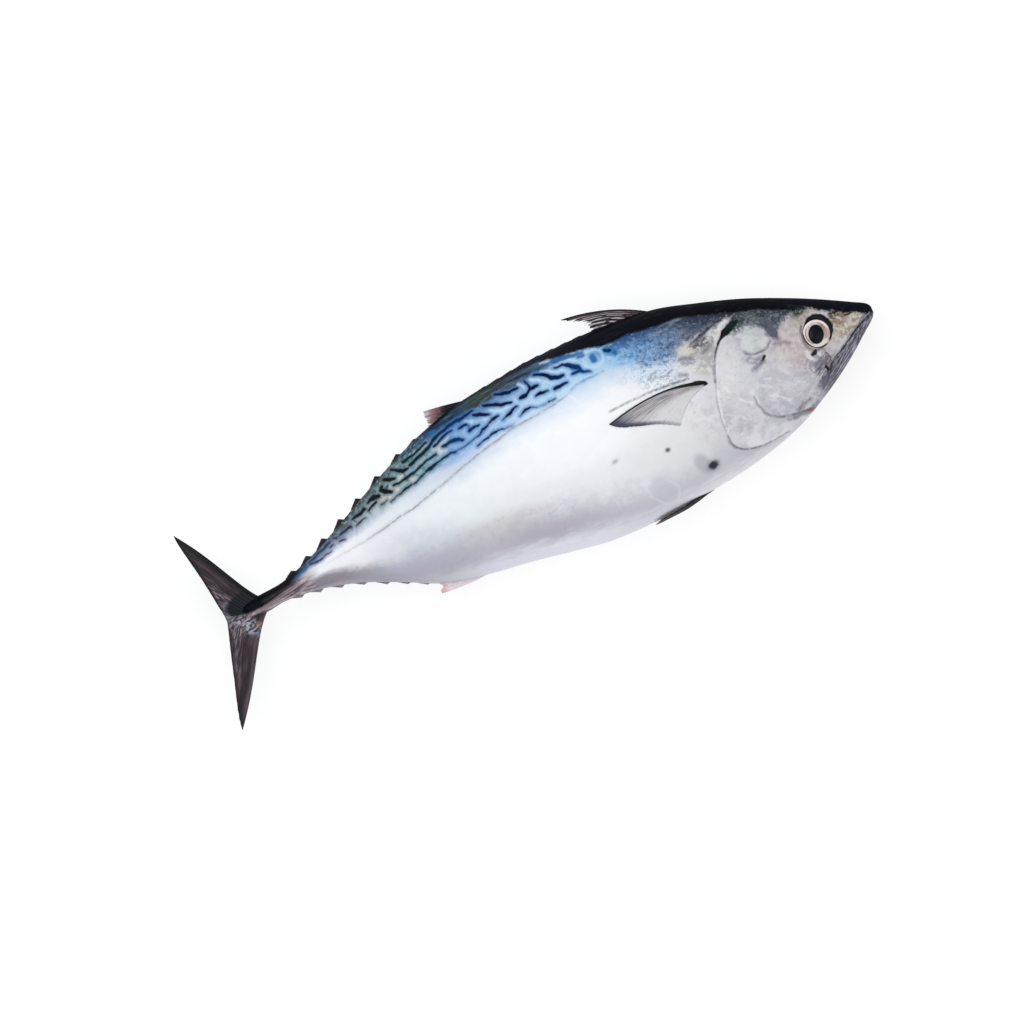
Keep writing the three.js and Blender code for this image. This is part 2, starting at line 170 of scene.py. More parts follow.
# Painted marks. Each is a line of (behind, above, half width) that reads from end to end.
STROKES = [
    [(194.0, 45.4, 0.9), (197, 45.8, 1.1), (200.5, 47.0, 1.3), (203, 49.2, 1.3), (206.2, 51.6, 1.0),
     (210.5, 54.0, 0.8)],
    [(196.8, 52.0, 0.6), (192, 51.4, 0.9), (188.5, 50.0, 1.2), (185.5, 47.8, 1.4), (182.6, 45.2, 1.1)],
    [(188.4, 43.6, 0.8), (184, 43.6, 1.2), (180.5, 41.8, 1.0), (177.3, 40.0, 0.6)],
    [(163.8, 48.4, 1.1), (161.2, 47.3, 0.9)],
    [(215, 41.1, 0.8), (211.5, 41.5, 1.3), (207.2, 40.5, 0.8)],
    [(203, 39.9, 1.0), (198, 40.1, 1.1), (194.2, 40.4, 0.9)],
    [(224, 44.2, 1.2), (221.3, 44.3, 1.4), (219.4, 45.0, 1.0), (216.6, 46.8, 1.1), (213.5, 47.0, 1.1),
     (211.2, 46.6, 0.8)],
    [(216.6, 47.2, 0.9), (217, 50.5, 0.7), (218.2, 53.5, 0.5)],
    [(247.5, 50.0, 0.8), (243.5, 48.2, 0.9), (240, 46.7, 1.1), (235, 45.2, 1.2), (230.8, 44.1, 0.8)],
    [(240.5, 36.4, 0.4), (235, 38.0, 0.8), (232, 39.4, 0.8), (228.8, 40.1, 0.7)],
    [(229.6, 34.3, 0.5), (225, 35.8, 0.7), (221.5, 36.3, 0.6), (219, 35.3, 0.4), (216.5, 34.0, 0.2),
     (211, 34.2, 0.3), (205, 34.5, 0.6)],
    [(238, 53.0, 0.9), (234, 51.4, 1.0), (229, 50.3, 1.0), (223.5, 50.7, 0.9)],
    [(305, 35.9, 0.9), (299, 37.8, 1.0), (294, 39.2, 1.0), (290, 40.8, 1.0), (286, 43.4, 1.0),
     (282, 45.5, 1.0), (276, 47.0, 1.0), (270, 48.0, 1.0), (262, 48.8, 0.9), (255, 49.6, 0.6)],
    [(309, 39.4, 0.8), (304, 40.0, 0.8), (300, 41.0, 0.8), (295, 42.6, 0.8), (290, 44.6, 0.6)],
    [(287, 39.5, 0.7), (283, 41.0, 0.9), (279, 42.9, 0.9), (275.5, 43.8, 0.9), (272.3, 44.5, 0.6)],
    [(281.6, 37.4, 0.8), (277, 38.1, 0.9), (273.5, 38.1, 1.1), (270.5, 37.0, 1.1), (268.2, 35.9, 0.8)],
    [(268.2, 43.5, 0.7), (265, 43.9, 1.1), (262, 43.4, 0.9)],
    [(262.6, 39.4, 0.8), (259, 39.7, 0.9), (255.3, 39.9, 0.8)],
    [(255.8, 46.8, 0.8), (252, 46.0, 1.2), (249, 44.6, 1.2), (246.4, 42.8, 0.7)],
    [(246, 39.5, 0.9), (242.4, 39.8, 0.9)],
    [(246, 39.2, 0.5), (250, 38.0, 0.45), (254, 36.1, 0.8), (258, 34.4, 0.45), (262, 33.0, 0.4),
     (268, 32.0, 0.35), (274, 31.2, 0.4)],
    [(275, 30.8, 0.6), (279, 31.4, 0.8), (284, 30.8, 0.8), (289, 29.5, 0.7), (293.5, 28.6, 1.1),
     (299, 27.2, 0.5), (305, 25.0, 0.5), (308, 24.0, 0.6)],
    [(262, 28.2, 0.3), (257, 29.5, 0.6), (251, 31.0, 0.8), (246, 31.6, 0.7), (240, 31.0, 0.4),
     (236, 30.6, 0.2)],
    [(311, 29.4, 0.7), (305, 30.2, 0.8), (302, 31.5, 0.8), (298, 32.9, 0.7), (294, 34.0, 0.7),
     (290, 34.8, 0.8), (287.5, 35.0, 0.7)],
    [(307, 34.8, 0.8), (311, 34.5, 1.2), (314, 36.0, 1.1), (317, 38.2, 0.8)],
    [(320, 28.5, 0.8), (316, 28.4, 0.7), (313, 28.9, 0.8), (309, 29.7, 0.7)],
    [(318, 32.4, 1.1), (321, 33.2, 1.5), (324.5, 34.8, 1.1)],
    [(323, 25.9, 0.9), (326, 27.0, 1.3), (328.6, 29.3, 1.3), (327.2, 31.6, 0.9)],
    [(331, 26.3, 1.1), (334, 27.4, 1.3), (337, 27.0, 1.2), (339.2, 26.0, 0.7)],
    [(334.6, 24.2, 0.9), (337.3, 22.9, 0.8), (341, 21.4, 0.8)],
    [(342.8, 23.4, 1.0), (346, 22.0, 1.2), (349.5, 21.0, 1.0), (353, 20.6, 0.6)],
    [(328, 22.2, 0.3), (332, 21.0, 0.5)],
    [(321, 21.4, 0.4), (318, 22.4, 0.6), (313, 24.0, 0.7), (309, 24.4, 0.6)],
    [(326, 20.0, 0.4), (322.5, 20.8, 0.5)],
    [(355, 16.8, 0.6), (359, 16.1, 0.8), (364, 15.0, 0.5)],
    [(344.5, 17.6, 0.3), (348, 17.3, 0.45), (352, 15.9, 0.3)],
    [(362.5, 11.3, 0.4), (365.5, 11.3, 0.6)],
    [(366.8, 14.6, 0.8), (368.6, 15.0, 0.5)],
    [(370.5, 11.2, 0.4), (373.5, 11.0, 0.4)],
    [(389, 6.0, 0.6), (383, 6.0, 0.5), (378, 7.0, 0.4), (373, 8.0, 0.2)],
    [(372, 14.0, 0.6), (378, 11.4, 0.7), (384, 9.0, 0.7), (389, 7.6, 0.6)],
]
DEEP_BLUES = [
    [(172.4, 48.3, 1.7), (172.7, 45.8, 1.9)],
    [(160.6, 47.6, 1.6), (158.4, 44.0, 1.4)],
    [(186.5, 46.8, 1.4), (183.4, 44.6, 2.0)],
    [(181, 51.8, 0.9), (177.4, 51.3, 1.0)],
    [(261, 42.2, 0.9), (261.8, 40.6, 0.9)],
    [(196, 55.6, 1.0), (190, 55.4, 1.4), (183, 54.2, 1.2), (177, 53.4, 0.8)],
    [(285.6, 47.6, 1.1), (282, 48.4, 0.9)],
    [(402.6, 2.2, 0.1), (397, 4.0, 0.5), (389.6, 6.2, 0.5), (381, 9.4, 0.2)],
]
PALE_STROKES = [
    [(177.8, 51.8, 0.3), (173, 52.2, 0.6), (168.8, 51.2, 0.7), (166.0, 48.6, 0.8), (165.8, 45.4, 0.9),
     (168.0, 42.6, 0.9), (172, 41.0, 1.0), (176.4, 41.6, 0.9), (178.2, 44.4, 0.7), (178.6, 48.4, 0.6)],
    [(165.4, 50.4, 0.6), (161.6, 51.4, 0.6), (158.2, 50.2, 0.4)],
    [(163.4, 43.6, 0.8), (160.8, 40.4, 0.5)],
    [(196, 54.0, 0.5), (191, 53.2, 0.7), (187, 51.8, 0.8), (183.5, 49.3, 0.8), (181, 46.5, 0.9)],
    [(206, 53.8, 0.5), (201, 51.4, 0.8), (197, 48.9, 0.9), (192.5, 47.8, 1.0)],
    [(221.8, 52.4, 1.0), (219.6, 49.8, 0.9)],
    [(213.6, 51.6, 1.2), (209, 49.2, 1.1)],
    [(204, 58.9, 0.4), (198, 58.2, 0.6)],
    [(187, 56.8, 0.6), (181.5, 55.9, 0.6)],
    [(245, 45.4, 1.0), (240, 43.4, 1.2), (234, 42.2, 0.9)],
    [(288, 38.2, 1.1), (284, 37.8, 1.4), (280.5, 39.4, 1.1), (276.5, 41.2, 0.8)],
    [(281, 35.4, 0.9), (285, 35.4, 0.8)],
    [(300, 42.6, 0.4), (294, 41.2, 0.6), (289, 42.4, 0.5)],
    [(306, 26.6, 1.1), (309, 27.8, 0.8)],
    [(316, 31.0, 1.2), (312, 31.8, 0.9)],
    [(322, 27.8, 1.2), (319, 25.8, 1.2)],
    [(330.5, 24.2, 1.4), (326, 23.2, 1.2)],
    [(262, 46.0, 0.8), (258.5, 43.8, 0.8)],
    [(251, 42.0, 0.9), (248, 41.2, 0.7)],
]
# The first, the dark crescent round the upper front of the eye, is painted shade of the eye socket; the
# fourth, a thin line along the gill cover's upper free edge, is partly painted shade under that edge
INK_SPOTS = [
    [(42.9, 9.0, 0.6), (40, 10.9, 1.3), (36, 11.7, 1.6), (32.4, 9.9, 1.9), (29.8, 5.9, 1.8),
     (28.4, 1.6, 1.3), (29.0, -1.8, 0.7), (31.2, -4.8, 0.1)],
    [(46.6, -9.8, 1.1), (44.9, -9.4, 1.5), (43.6, -8.0, 0.7)],
    [(96.8, 22.4, 0.5), (94, 24.2, 1.2), (90.6, 26.2, 2.5), (87, 27.6, 2.8), (83.4, 28.6, 1.8),
     (80.8, 29.0, 0.7)],
    [(104.8, 12.2, 0.15), (101.4, 17.4, 0.45), (97.4, 22.2, 0.8), (93, 26.2, 0.8)],
    [(76.6, 0.6, 0.7), (74.8, 2.2, 0.9)],
    [(17.6, 6.2, 0.9), (14.4, 6.3, 0.8)],
    [(17.6, 4.2, 0.4), (15, 3.6, 0.6), (12.6, 3.9, 0.3)],
    [(26.5, 9.0, 0.4), (22.6, 8.0, 0.6), (20, 8.2, 0.5)],
    [(42.2, -20.2, 0.7), (41.4, -22.6, 0.7), (42.8, -24.4, 0.4)],
]
# Dark spots under the pectoral fin: centre, half sizes and strength
SOFT_SPOTS = [
    ((132.7, -46.0), (3.5, 2.6), 0.95), ((154.8, -25.1), (1.5, 1.3), 0.75),
    ((187.8, -17.5), (2.2, 1.3), 0.3),
]
SMEARS = [
    [(63.8, 21, 1.3), (63.6, 15, 1.6), (62.2, 8, 1.0)],
    [(67.5, 14.4, 0.8), (63, 11.6, 1.0)],
    [(85, -3.0, 0.6), (80.5, -2.2, 1.2), (77, 0, 0.8)],
    [(84.5, 9.5, 0.5), (82, 5, 0.8), (76, 3.6, 0.6)],
    [(47.4, -17.8, 1.6), (42.5, -17.2, 1.4)],
    [(48, -29.6, 1.2), (43, -26.6, 1.4)],
    [(124, 23.2, 1.1), (119.8, 22.0, 1.5), (117.2, 19.8, 1.0), (115.6, 18.0, 0.5)],
    [(122.5, 19.6, 0.8), (117.5, 17.6, 0.8)],
    [(128.4, 14.6, 1.0), (124.4, 12.6, 1.0)],
    [(56, 3.0, 0.3), (60, 5.0, 0.5), (66, 6.0, 0.4)],
    [(112, 27.8, 1.3), (107.6, 28.4, 1.4), (103, 29.6, 1.0)],
    [(100.5, 25.4, 0.8), (105, 21.8, 0.7), (108.6, 21.0, 0.8)],
    [(60, -34.6, 0.5), (65, -35.4, 0.8), (69, -37.4, 0.5)],
    [(78, -39.8, 0.4), (70, -40.6, 1.1), (62, -41.0, 1.4), (56, -38.8, 1.0)],
]
# Dark lines: the skin's own fine lines and creases, with painted shade in those creases, along the gill
# cover's free edge and, in the second line, under the raised disc on the cheek
FINE_LINES = [
    [(91.2, -17.6, 0.1), (91.4, -23.5, 0.2), (89.8, -29.6, 0.3), (86.5, -33.6, 0.35), (80.5, -36.8, 0.4),
     (74, -38.5, 0.45), (67, -39.4, 0.4), (60.5, -40.6, 0.3)],
    [(84.6, 9.0, 0.0), (83, 7.0, 0.3), (79.6, 5.6, 0.5), (75.5, 5.2, 0.5), (70.6, 6.4, 0.3),
     (66.6, 9.6, 0.0)],
    [(147.6, 20.0, 0.0), (145.5, 20.2, 0.3), (143.6, 21.8, 0.1), (141.4, 21.6, 0.4), (139.6, 23.2, 0.1)],
    [(141, 18.2, 0.1), (138.4, 18.0, 0.3), (135.6, 17.2, 0.0), (132.8, 18.6, 0.3), (130.6, 19.0, 0.1)],
    [(145.8, 17.8, 0.1), (142.4, 19.2, 0.3), (140.6, 20.4, 0.0)],
    [(138, 29.5, 0.25), (134.5, 28.8, 0.25)],
    [(145.2, 30.7, 0.35), (143.8, 28.8, 0.35)],
    [(144, 38.2, 0.4), (141, 36.4, 0.35)],
    [(131, 34.6, 0.3), (127.6, 33.0, 0.4), (125, 34.4, 0.3)],
    [(193.5, 35, 0.25), (190, 36.5, 0.4), (186, 37.1, 0.4), (180, 36.8, 0.25), (170, 37.2, 0.1)],
    [(39.2, -8.4, 0.25), (38.6, -12, 0.35), (37.2, -15.5, 0.3), (37.6, -19, 0.35), (39.6, -22.6, 0.3)],
    [(41.5, -18.5, 0.4), (41.7, -21, 0.5), (40.6, -23.6, 0.3)],
    [(45.4, 9.6, 0.3), (47.6, 5.0, 0.35), (48.4, -0.5, 0.3), (47.2, -5.4, 0.3), (44.0, -8.4, 0.35),
     (39.6, -8.6, 0.3), (35.6, -6.8, 0.3), (32.8, -4.2, 0.2)],
    [(117.2, -33.4, 0.3), (117.2, -38.0, 0.5), (115.2, -42.2, 0.5), (110.8, -45.2, 0.45),
     (105, -46.9, 0.4), (97, -47.7, 0.35), (89.5, -48.0, 0.25), (80, -47.2, 0.1)],
    [(109.9, 0.6, 0.25), (108.4, 4.8, 0.35), (105.4, 11, 0.3)],
    [(35.8, 17.5, 0.25), (33.4, 15.4, 0.25), (30.4, 13.6, 0.2)],
]
# Light lines, most of them painted highlights on the rims and ridges of the head and the gill cover
HIGHLIGHT_LINES = [
    [(110.6, -4.4, 0.3), (112.4, -10.5, 0.5), (114.2, -17.4, 0.5), (115.4, -24.6, 0.5),
     (115.6, -32.2, 0.3)],
    [(100.4, -15.2, 0.3), (97.4, -18.6, 0.4), (93.8, -21.2, 0.35)],
    [(91.8, -15.2, 0.3), (90.0, -18.6, 0.4), (90.2, -23.4, 0.3)],
    [(82.2, -21.4, 0.4), (78.6, -22.8, 0.45), (74.8, -26.6, 0.4), (71.4, -29.4, 0.5)],
    [(87.6, 33.0, 0.5), (91.4, 31.6, 0.7), (95.2, 28.6, 0.7), (98.8, 25.6, 0.5)],
    [(84.0, 6.6, 0.3), (80.4, 4.6, 0.4), (75.4, 3.9, 0.3)],
    [(66.8, -12.6, 0.3), (69.4, -8.4, 0.3)],
    [(106.2, -1.4, 0.4), (104.4, -8.4, 0.3)],
    [(49.6, -6.6, 0.7), (50.0, -9.6, 0.9), (48.0, -12.6, 0.7)],
    [(43.0, -10.6, 0.4), (42.4, -12.2, 0.4)],
]
FAINT_LINES = [
    [(178, -37, 0.3), (176.4, -47, 0.4), (170.4, -55.8, 0.4), (161, -56.6, 0.3)],
    [(163.6, -41.2, 0.4), (158, -48.6, 0.4), (161, -55.4, 0.3)],
    [(174, -31, 0.4), (166, -20.6, 0.5), (160.6, -14.6, 0.4)],
    [(196.5, 33.0, 0.4), (192.4, 24.4, 0.4), (187.6, 20.8, 0.3)],
]
MOUTH = [
    (-1, -1.2, 0.3), (0.8, -1.8, 0.4), (5.9, -3.7, 0.45), (14.8, -7.4, 0.45), (23, -12.2, 0.5),
    (29, -15.5, 0.6), (34, -17.6, 0.5), (38.5, -21.5, 0.4), (41, -25.4, 0.3),
]


# ------------------------------------------------------------------ numbers for the shapes


def curve(points):
    """A smooth curve through (at, value) pairs that never overshoots them."""
    at, value = np.array(points, float).T
    gap = np.diff(at)
    slope = np.diff(value) / gap
    before, after = slope[:-1], slope[1:]
    same_way = before * after > 0
    tangent = np.concatenate([slope[:1], np.zeros(len(at) - 2), slope[-1:]])
    tangent[1:-1] = np.where(same_way, 2 * before * after / np.where(same_way, before + after, 1), 0)

    def value_at(x):
        x = np.clip(x, at[0], at[-1])
        i = np.clip(np.searchsorted(at, x, side="right") - 1, 0, len(gap) - 1)
        t = (x - at[i]) / gap[i]
        rest = 1 - t
        start = value[i] * (1 + 2 * t) * rest**2 + gap[i] * tangent[i] * t * rest**2
        return start + value[i + 1] * t**2 * (3 - 2 * t) - gap[i] * tangent[i + 1] * t**2 * rest

    return value_at


BACK, BELLY, HALF = (curve([(row[0], row[i]) for row in STATIONS]) for i in (1, 2, 3))
BLACK_AT, DUSKY_AT, BLUE_AT = curve(BLACK_EDGE), curve(DUSKY_EDGE), curve(BLUE_EDGE)
CROWN_AT, BELT_AT = curve(CROWN_EDGE), curve(BELT_EDGE)


def ease(x, start, end):
    """0 before start, 1 past end, and smooth between them."""
    t = np.clip((x - start) / (end - start), 0, 1)
    return t * t * (3 - 2 * t)


def signed_power(value, power):
    """A power that keeps the value's sign."""
    return np.sign(value) * np.abs(value) ** power


def spline(points, places):
    """Points on the even spline through points, at places from 0 to 1 along it."""
    points = np.array(points, float)
    last = len(points) - 1
    along = np.clip(places, 0, 1) * last
    i = np.minimum(along.astype(int), last - 1)
    t = (along - i)[..., None]
    before, start, end, after = (points[np.clip(i + k, 0, last)] for k in (-1, 0, 1, 2))
    pull, push = (end - before) / 2, (after - start) / 2
    return (
        (2 * start - 2 * end + pull + push) * t**3
        + (3 * end - 3 * start - 2 * pull - push) * t**2
        + pull * t
        + start
    )


def section(behind, angle):
    """Points on the skin and the way that it faces. The angle is 0 on the back, a quarter
    turn on the right flank and half a turn on the belly."""
    back, belly = BACK(behind), BELLY(behind)
    middle, tall = (back + belly) / 2, np.maximum((back - belly) / 2, 0.1)
    half = np.maximum(HALF(behind), 0.1)
    up, out = (signed_power(v, 2 / ROUNDNESS) for v in (np.cos(angle), np.sin(angle)))
    lean_up, lean_out = (signed_power(v, ROUNDNESS - 1) for v in (up, out))
    facing = np.stack([np.zeros_like(up), lean_up / tall, lean_out / half], axis=-1)
    facing /= np.linalg.norm(facing, axis=-1, keepdims=True)
    return np.stack([behind + 0 * angle, middle + tall * up, half * out], axis=-1), facing


def angle_at(behind, above):
    """The angle round the right flank at a height above the axis."""
    back, belly = BACK(behind), BELLY(behind)
    share = np.clip((2 * above - back - belly) / (back - belly), -1, 1)
    return np.arccos(signed_power(share, ROUNDNESS / 2))


def away_from(lines, behind, above):
    """Millimetres from the edge of the nearest painted line, less than 0 inside it."""
    nearest = np.full(np.shape(behind), 60.0)
    for line in lines:
        for (s0, t0, r0), (s1, t1, r1) in zip(line, line[1:]):
            run, rise = s1 - s0, t1 - t0
            reach = 8 + max(r0, r1)
            close = (behind > min(s0, s1) - reach) & (behind < max(s0, s1) + reach)
            s, t = behind[close], above[close]
            along = np.clip(((s - s0) * run + (t - t0) * rise) / (run**2 + rise**2), 0, 1)
            gap = np.hypot(s - s0 - along * run, t - t0 - along * rise) - (r0 + (r1 - r0) * along)
            nearest[close] = np.minimum(nearest[close], gap)
    return nearest


def wobble(behind, above, size):
    """Small smooth shifts that make a drawn line a natural one."""
    a, b = behind / 1.9, above / 1.7
    across = np.sin(a + 1.3 * np.sin(b * 0.9)) + 0.6 * np.sin(1.9 * b - 0.7 * a + 2)
    up = np.sin(b + 1.1 * np.sin(a * 0.8 + 1)) + 0.6 * np.sin(2.1 * a + 0.6 * b)
    return behind + size * across, above + size * up


GILL_TURNS = [0, *(float(angle_at(s, t)) for s, t in GILL_EDGE[1:-1]), math.pi]
# a hair further apart each, because no two may be the same
GILL_AT_ANGLE = curve(
    [(turn + 0.001 * k, s) for k, (turn, (s, _)) in enumerate(zip(GILL_TURNS, GILL_EDGE))]
)


def behind_gill(behind, angle):
    """Millimetres behind the gill cover's free edge, less than 0 on the head."""
    return behind - GILL_AT_ANGLE(np.abs(angle))


def world(points):
    """Places on the fish as places in the frame. Nothing goes under the floor."""
    behind, above, aside = np.moveaxis(np.asarray(points, float), -1, 0)
    height = np.maximum(MIDDLE_Z + aside * MM, FISH_LOW.z)
    return np.stack([SNOUT_X - behind * MM, AXIS_Y + above * MM, height], axis=-1)


# ------------------------------------------------------------------ making meshes

SEAM_GAP = 0.00001  # vertices closer than this, in metres, become one


def sheet_of(columns, rows):
    """A grid from the bmesh operator, with the share across and the share along of each vertex."""
    form = bmesh.new()
    bmesh.ops.create_grid(form, x_segments=columns, y_segments=rows, size=0.5)
    shares = np.array([vertex.co[:2] for vertex in form.verts]) + 0.5
    return form, shares[:, 0], shares[:, 1]


def place(form, points):
    """Moves the form's vertices to places on the fish."""
    for vertex, point in zip(form.verts, world(points)):
        vertex.co = point


def note(form, facts):
    """Keeps numbers on the vertices, which the materials read by name."""
    for name, values in facts.items():
        layer = form.verts.layers.float.new(name)
        for vertex, value in zip(form.verts, values):
            vertex[layer] = value


def close_up(form):
    """Joins the seams, fills what is open and turns every face outwards."""
    bmesh.ops.remove_doubles(form, verts=form.verts, dist=SEAM_GAP)
    edges = [edge for edge in form.edges if edge.is_boundary]
    bmesh.ops.holes_fill(form, edges=edges, sides=0)
    bmesh.ops.recalc_face_normals(form, faces=form.faces)


def finish_piece(name, forms, paint_name, nodes=("fish",)):
    """Makes one piece of the forms, smooth and painted, riding on the body."""
    mesh = bpy.data.meshes.new(name)
    whole, *others = forms
    for form in others:
        spare = bpy.data.meshes.new("spare")
        form.to_mesh(spare)
        form.free()
        whole.from_mesh(spare)
        bpy.data.meshes.remove(spare)
    for face in whole.faces:
        face.smooth = True
    whole.to_mesh(mesh)
    whole.free()
    mesh.materials.append(material_named(paint_name))
    piece = bpy.data.objects.new(name, mesh)
    bpy.context.scene.collection.objects.link(piece)
    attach(piece, "root")
    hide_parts(*nodes)
    return piece


# ------------------------------------------------------------------ the skin

# How far the skin's relief stands out or sinks in
UNDER_COVER = 0.55  # the flank under the gill cover's free edge
AT_SEAM = 0.16  # head and trunk where the cover is grown to the body
LATERAL_GROOVE = 0.22
FOLDS = (0.35, 0.18)  # the fine folds of the head and of the trunk
SPINE_GROOVE = 0.5
MOUTH_CREASE = 0.6
NOSTRILS = 0.5
EYE_SOCKET, EYE_MOAT, EYE_RIM = 1.6, 0.7, 0.35
CHEEK_DISC = 0.3
SUNK_ROW = 2.5

COVER_ROWS = 0.94  # the share of the head's rows that lie before the rolled lip
CROWDED = 1.25  # the power that crowds those rows towards the snout
# Shares of the trunk's columns from back to belly, and the angles that they reach: they lie
# closest on the upper flank, where the strokes are
COLUMN_SHARES = (0, 0.1, 0.68, 1)
COLUMN_ANGLES = (0, 0.35, 1.5, math.pi)
DISC = (75.5, 13.5)  # the middle of the raised disc on the cheek


def skin_facts(behind, angle, above):
    """What the skin's material reads: how far each spot is from the marks and borders. Loose
    marks wander more than near ones."""
    back, belly = BACK(behind), BELLY(behind)
    girth = (2 * above - back - belly) / (back - belly)
    loose, near = wobble(behind, above, 0.28), wobble(behind, above, 0.12)
    return {
        "over_black": above - BLACK_AT(behind),
        "over_dusky": above - DUSKY_AT(behind),
        "over_blue": above - BLUE_AT(behind),
        "over_crown": above - CROWN_AT(behind),
        "over_belt": girth - BELT_AT(behind),
        "girth": girth,
        "behind_gill": behind_gill(behind, angle),
        "stroke": away_from(STROKES, *loose),
        "deep_blue": away_from(DEEP_BLUES, *loose),
        "pale_stroke": away_from(PALE_STROKES, *loose),
        "ink": away_from(INK_SPOTS, *near),
        "smear": away_from(SMEARS, *loose),
        "fine_line": away_from(FINE_LINES, *near),
        "bright_line": away_from(HIGHLIGHT_LINES, *near),
        "faint_line": away_from(FAINT_LINES, *loose),
        "mouth": away_from([MOUTH], behind, above),
        "lateral": away_from([[(s, t, 0.0) for s, t in LATERAL_LINE]], *near),
    }


def free_edge(angle):
    """1 where the gill cover's edge stands free, and 0 at the nape and the throat."""
    turn = np.abs(angle)
    return ease(turn, 0.5, 0.95) * (1 - ease(turn, 2.55, 2.8))


def trench(distance, width):
    """1 in the middle of a groove or ridge, falling to 0 outside its width."""
    return np.exp(-((distance / width) ** 2))


def trunk_form(columns, rows, start):
    """The body behind the head. Its front end lies under the head and the gill covers."""
    form, round_share, along = sheet_of(columns, rows)
    turn = 2 * np.abs(round_share - 0.5)
    angle = np.sign(round_share - 0.5) * np.interp(turn, COLUMN_SHARES, COLUMN_ANGLES)
    behind = start + (BODY_LENGTH - start) * along
    gill = behind_gill(behind, angle)
    points, facing = section(behind, angle)
    above = points[:, 1]
    facts = skin_facts(behind, angle, above)
    free = free_edge(angle)
    rise = -UNDER_COVER * free * (1 - ease(gill, -1, 7))
    rise -= AT_SEAM * (1 - free) * (1 - ease(gill, -12, -2))
    rise -= LATERAL_GROOVE * trench(facts["lateral"], 0.5) * ease(behind, 195, 215)
    rise -= FOLDS[1] * trench(np.maximum(facts["fine_line"], 0), 0.9)
    rise -= SPINE_GROOVE * trench(angle, 0.035) * ease(behind, 165, 175) * (1 - ease(behind, 240, 250))
    points = points + facing * rise[:, None]
    # the keels on the root of the tail
    ahead = KEEL["behind"] - behind
    off_middle = (above - KEEL["above"] - math.tan(KEEL["dip"]) * ahead) / KEEL["height"]
    reach = KEEL["reach"] * np.sqrt(np.clip(1 - (ahead / KEEL["length"]) ** 2, 0, 1))
    ridge = reach * np.sqrt(np.clip(1 - off_middle**2, 0, 1))
    side = np.sign(points[:, 2] + 1e-9)
    points[:, 2] = side * np.maximum(np.abs(points[:, 2]), ridge)
    place(form, points)
    note(form, facts)
    close_up(form)
    return form


def head_form(columns, rows, cover_step):
    """The head, from the snout to the free edge of the gill covers, over the trunk's front."""
    form, round_share, along = sheet_of(columns, rows)
    angle = (round_share - 0.5) * 2 * math.pi
    edge = GILL_AT_ANGLE(np.abs(angle))
    behind = np.where(
        along < COVER_ROWS,
        (edge - LIP) * (along / COVER_ROWS) ** CROWDED,
        edge - LIP + LIP * (along - COVER_ROWS) / (1 - COVER_ROWS),
    )
    points, facing = section(behind, angle)
    above = points[:, 1]
    facts = skin_facts(behind, angle, above)
    free = free_edge(angle)
    stand = cover_step * free * ease(behind, 50, 95)
    stand -= AT_SEAM * (1 - free) * ease(behind - edge, -12, -1)
    to_edge = np.clip((edge - behind) / LIP, 0, 1)
    rolled = 1 - np.sqrt(np.clip(1 - (1 - to_edge) ** 2, 0, 1))
    rise = stand - (stand + 0.4) * rolled * free
    # the closed mouth, the folds of the cheek and the gill cover, and the nostrils
    rise -= MOUTH_CREASE * trench(np.maximum(facts["mouth"], 0), 0.6)
    rise -= FOLDS[0] * trench(facts["fine_line"], 0.55)
    rise -= NOSTRILS * trench(np.maximum(facts["ink"], 0), 0.8) * (behind < 20)
    # the orbit: a moat round the eyeball inside a low soft rim
    round_eye = np.hypot((behind - EYE[0]) / ORBIT[0], (above - EYE[1]) / ORBIT[1])
    rise -= EYE_SOCKET * (1 - ease(round_eye, 0.84, 0.96)) + EYE_MOAT * trench(round_eye - 1, 0.08)
    rise += EYE_RIM * trench(round_eye - 1.24, 0.1)
    rise += CHEEK_DISC * trench(np.hypot(behind - DISC[0], above - DISC[1]), 6.5)
    rise *= ease(behind, 0, 3)
    rise -= SUNK_ROW * (along > 0.999)  # the last row goes down into the trunk
    points = points + facing * rise[:, None]
    place(form, points)
    note(form, facts)
    close_up(form)
    return form


# ------------------------------------------------------------------ the fins


class Fan:
    """A fin's outline: rays from its base, front to rear, out to its margin."""

    def __init__(self, base, margin, bow, near_base=1):
        self.base, self.margin, self.bow, self.near_base = base, margin, np.array(bow, float), near_base

    def at(self, across, out):
        hump = out * (1 - out) ** self.near_base
        top = 1 / (1 + self.near_base)
        hump = hump / (top * (1 - top) ** self.near_base)
        last = len(self.bow) - 1
        pull = np.stack(
            [np.interp(across * last, range(last + 1), self.bow[:, k]) for k in (0, 1)], axis=-1
        )
        start, end = spline(self.base, across), spline(self.margin, across)
        return start + (end - start) * out[..., None] + pull * hump[..., None]


TAIL = Fan(
    base=[(419, -0.5), (434, -1.5), (439, -3), (434, -4.5), (419, -6.5)],
    margin=[
        (459.2, 59.8), (458.6, 50.8), (455.0, 27.9), (452.9, 9.6), (451.8, -2.0),
        (453.4, -9.0), (456.8, -18.8), (464.1, -40.7), (470.6, -60.5), (472.4, -70.2),
    ],
    bow=[(0, -9.4), (0, 0), (0, 7.2)],
    near_base=3,
)
FIRST_DORSAL = Fan(
    base=[(121, 54), (134, 57), (152, 59.5)],
    margin=[(180.8, 78.0), (174.5, 74.0), (168.2, 70.8), (166.2, 67.0), (166.0, 62.6)],
    bow=[(-2, 4.2), (0, 1)],
)
SECOND_DORSAL = Fan(
    base=[(252, 57.0), (264, 54.0), (277, 49.5)],
    margin=[(283.4, 62.9), (284.2, 59.4), (284.0, 55.2), (287.0, 50.8)],
    bow=[(0, 0.4), (0, 0)],
)
ANAL = Fan(
    base=[(283, -46.6), (300, -43.0), (313, -39.0)],
    margin=[(321.4, -45.9), (321.6, -43.6), (319.4, -41.8), (322.0, -38.0)],
    bow=[(0, -1.2), (0, 0)],
)
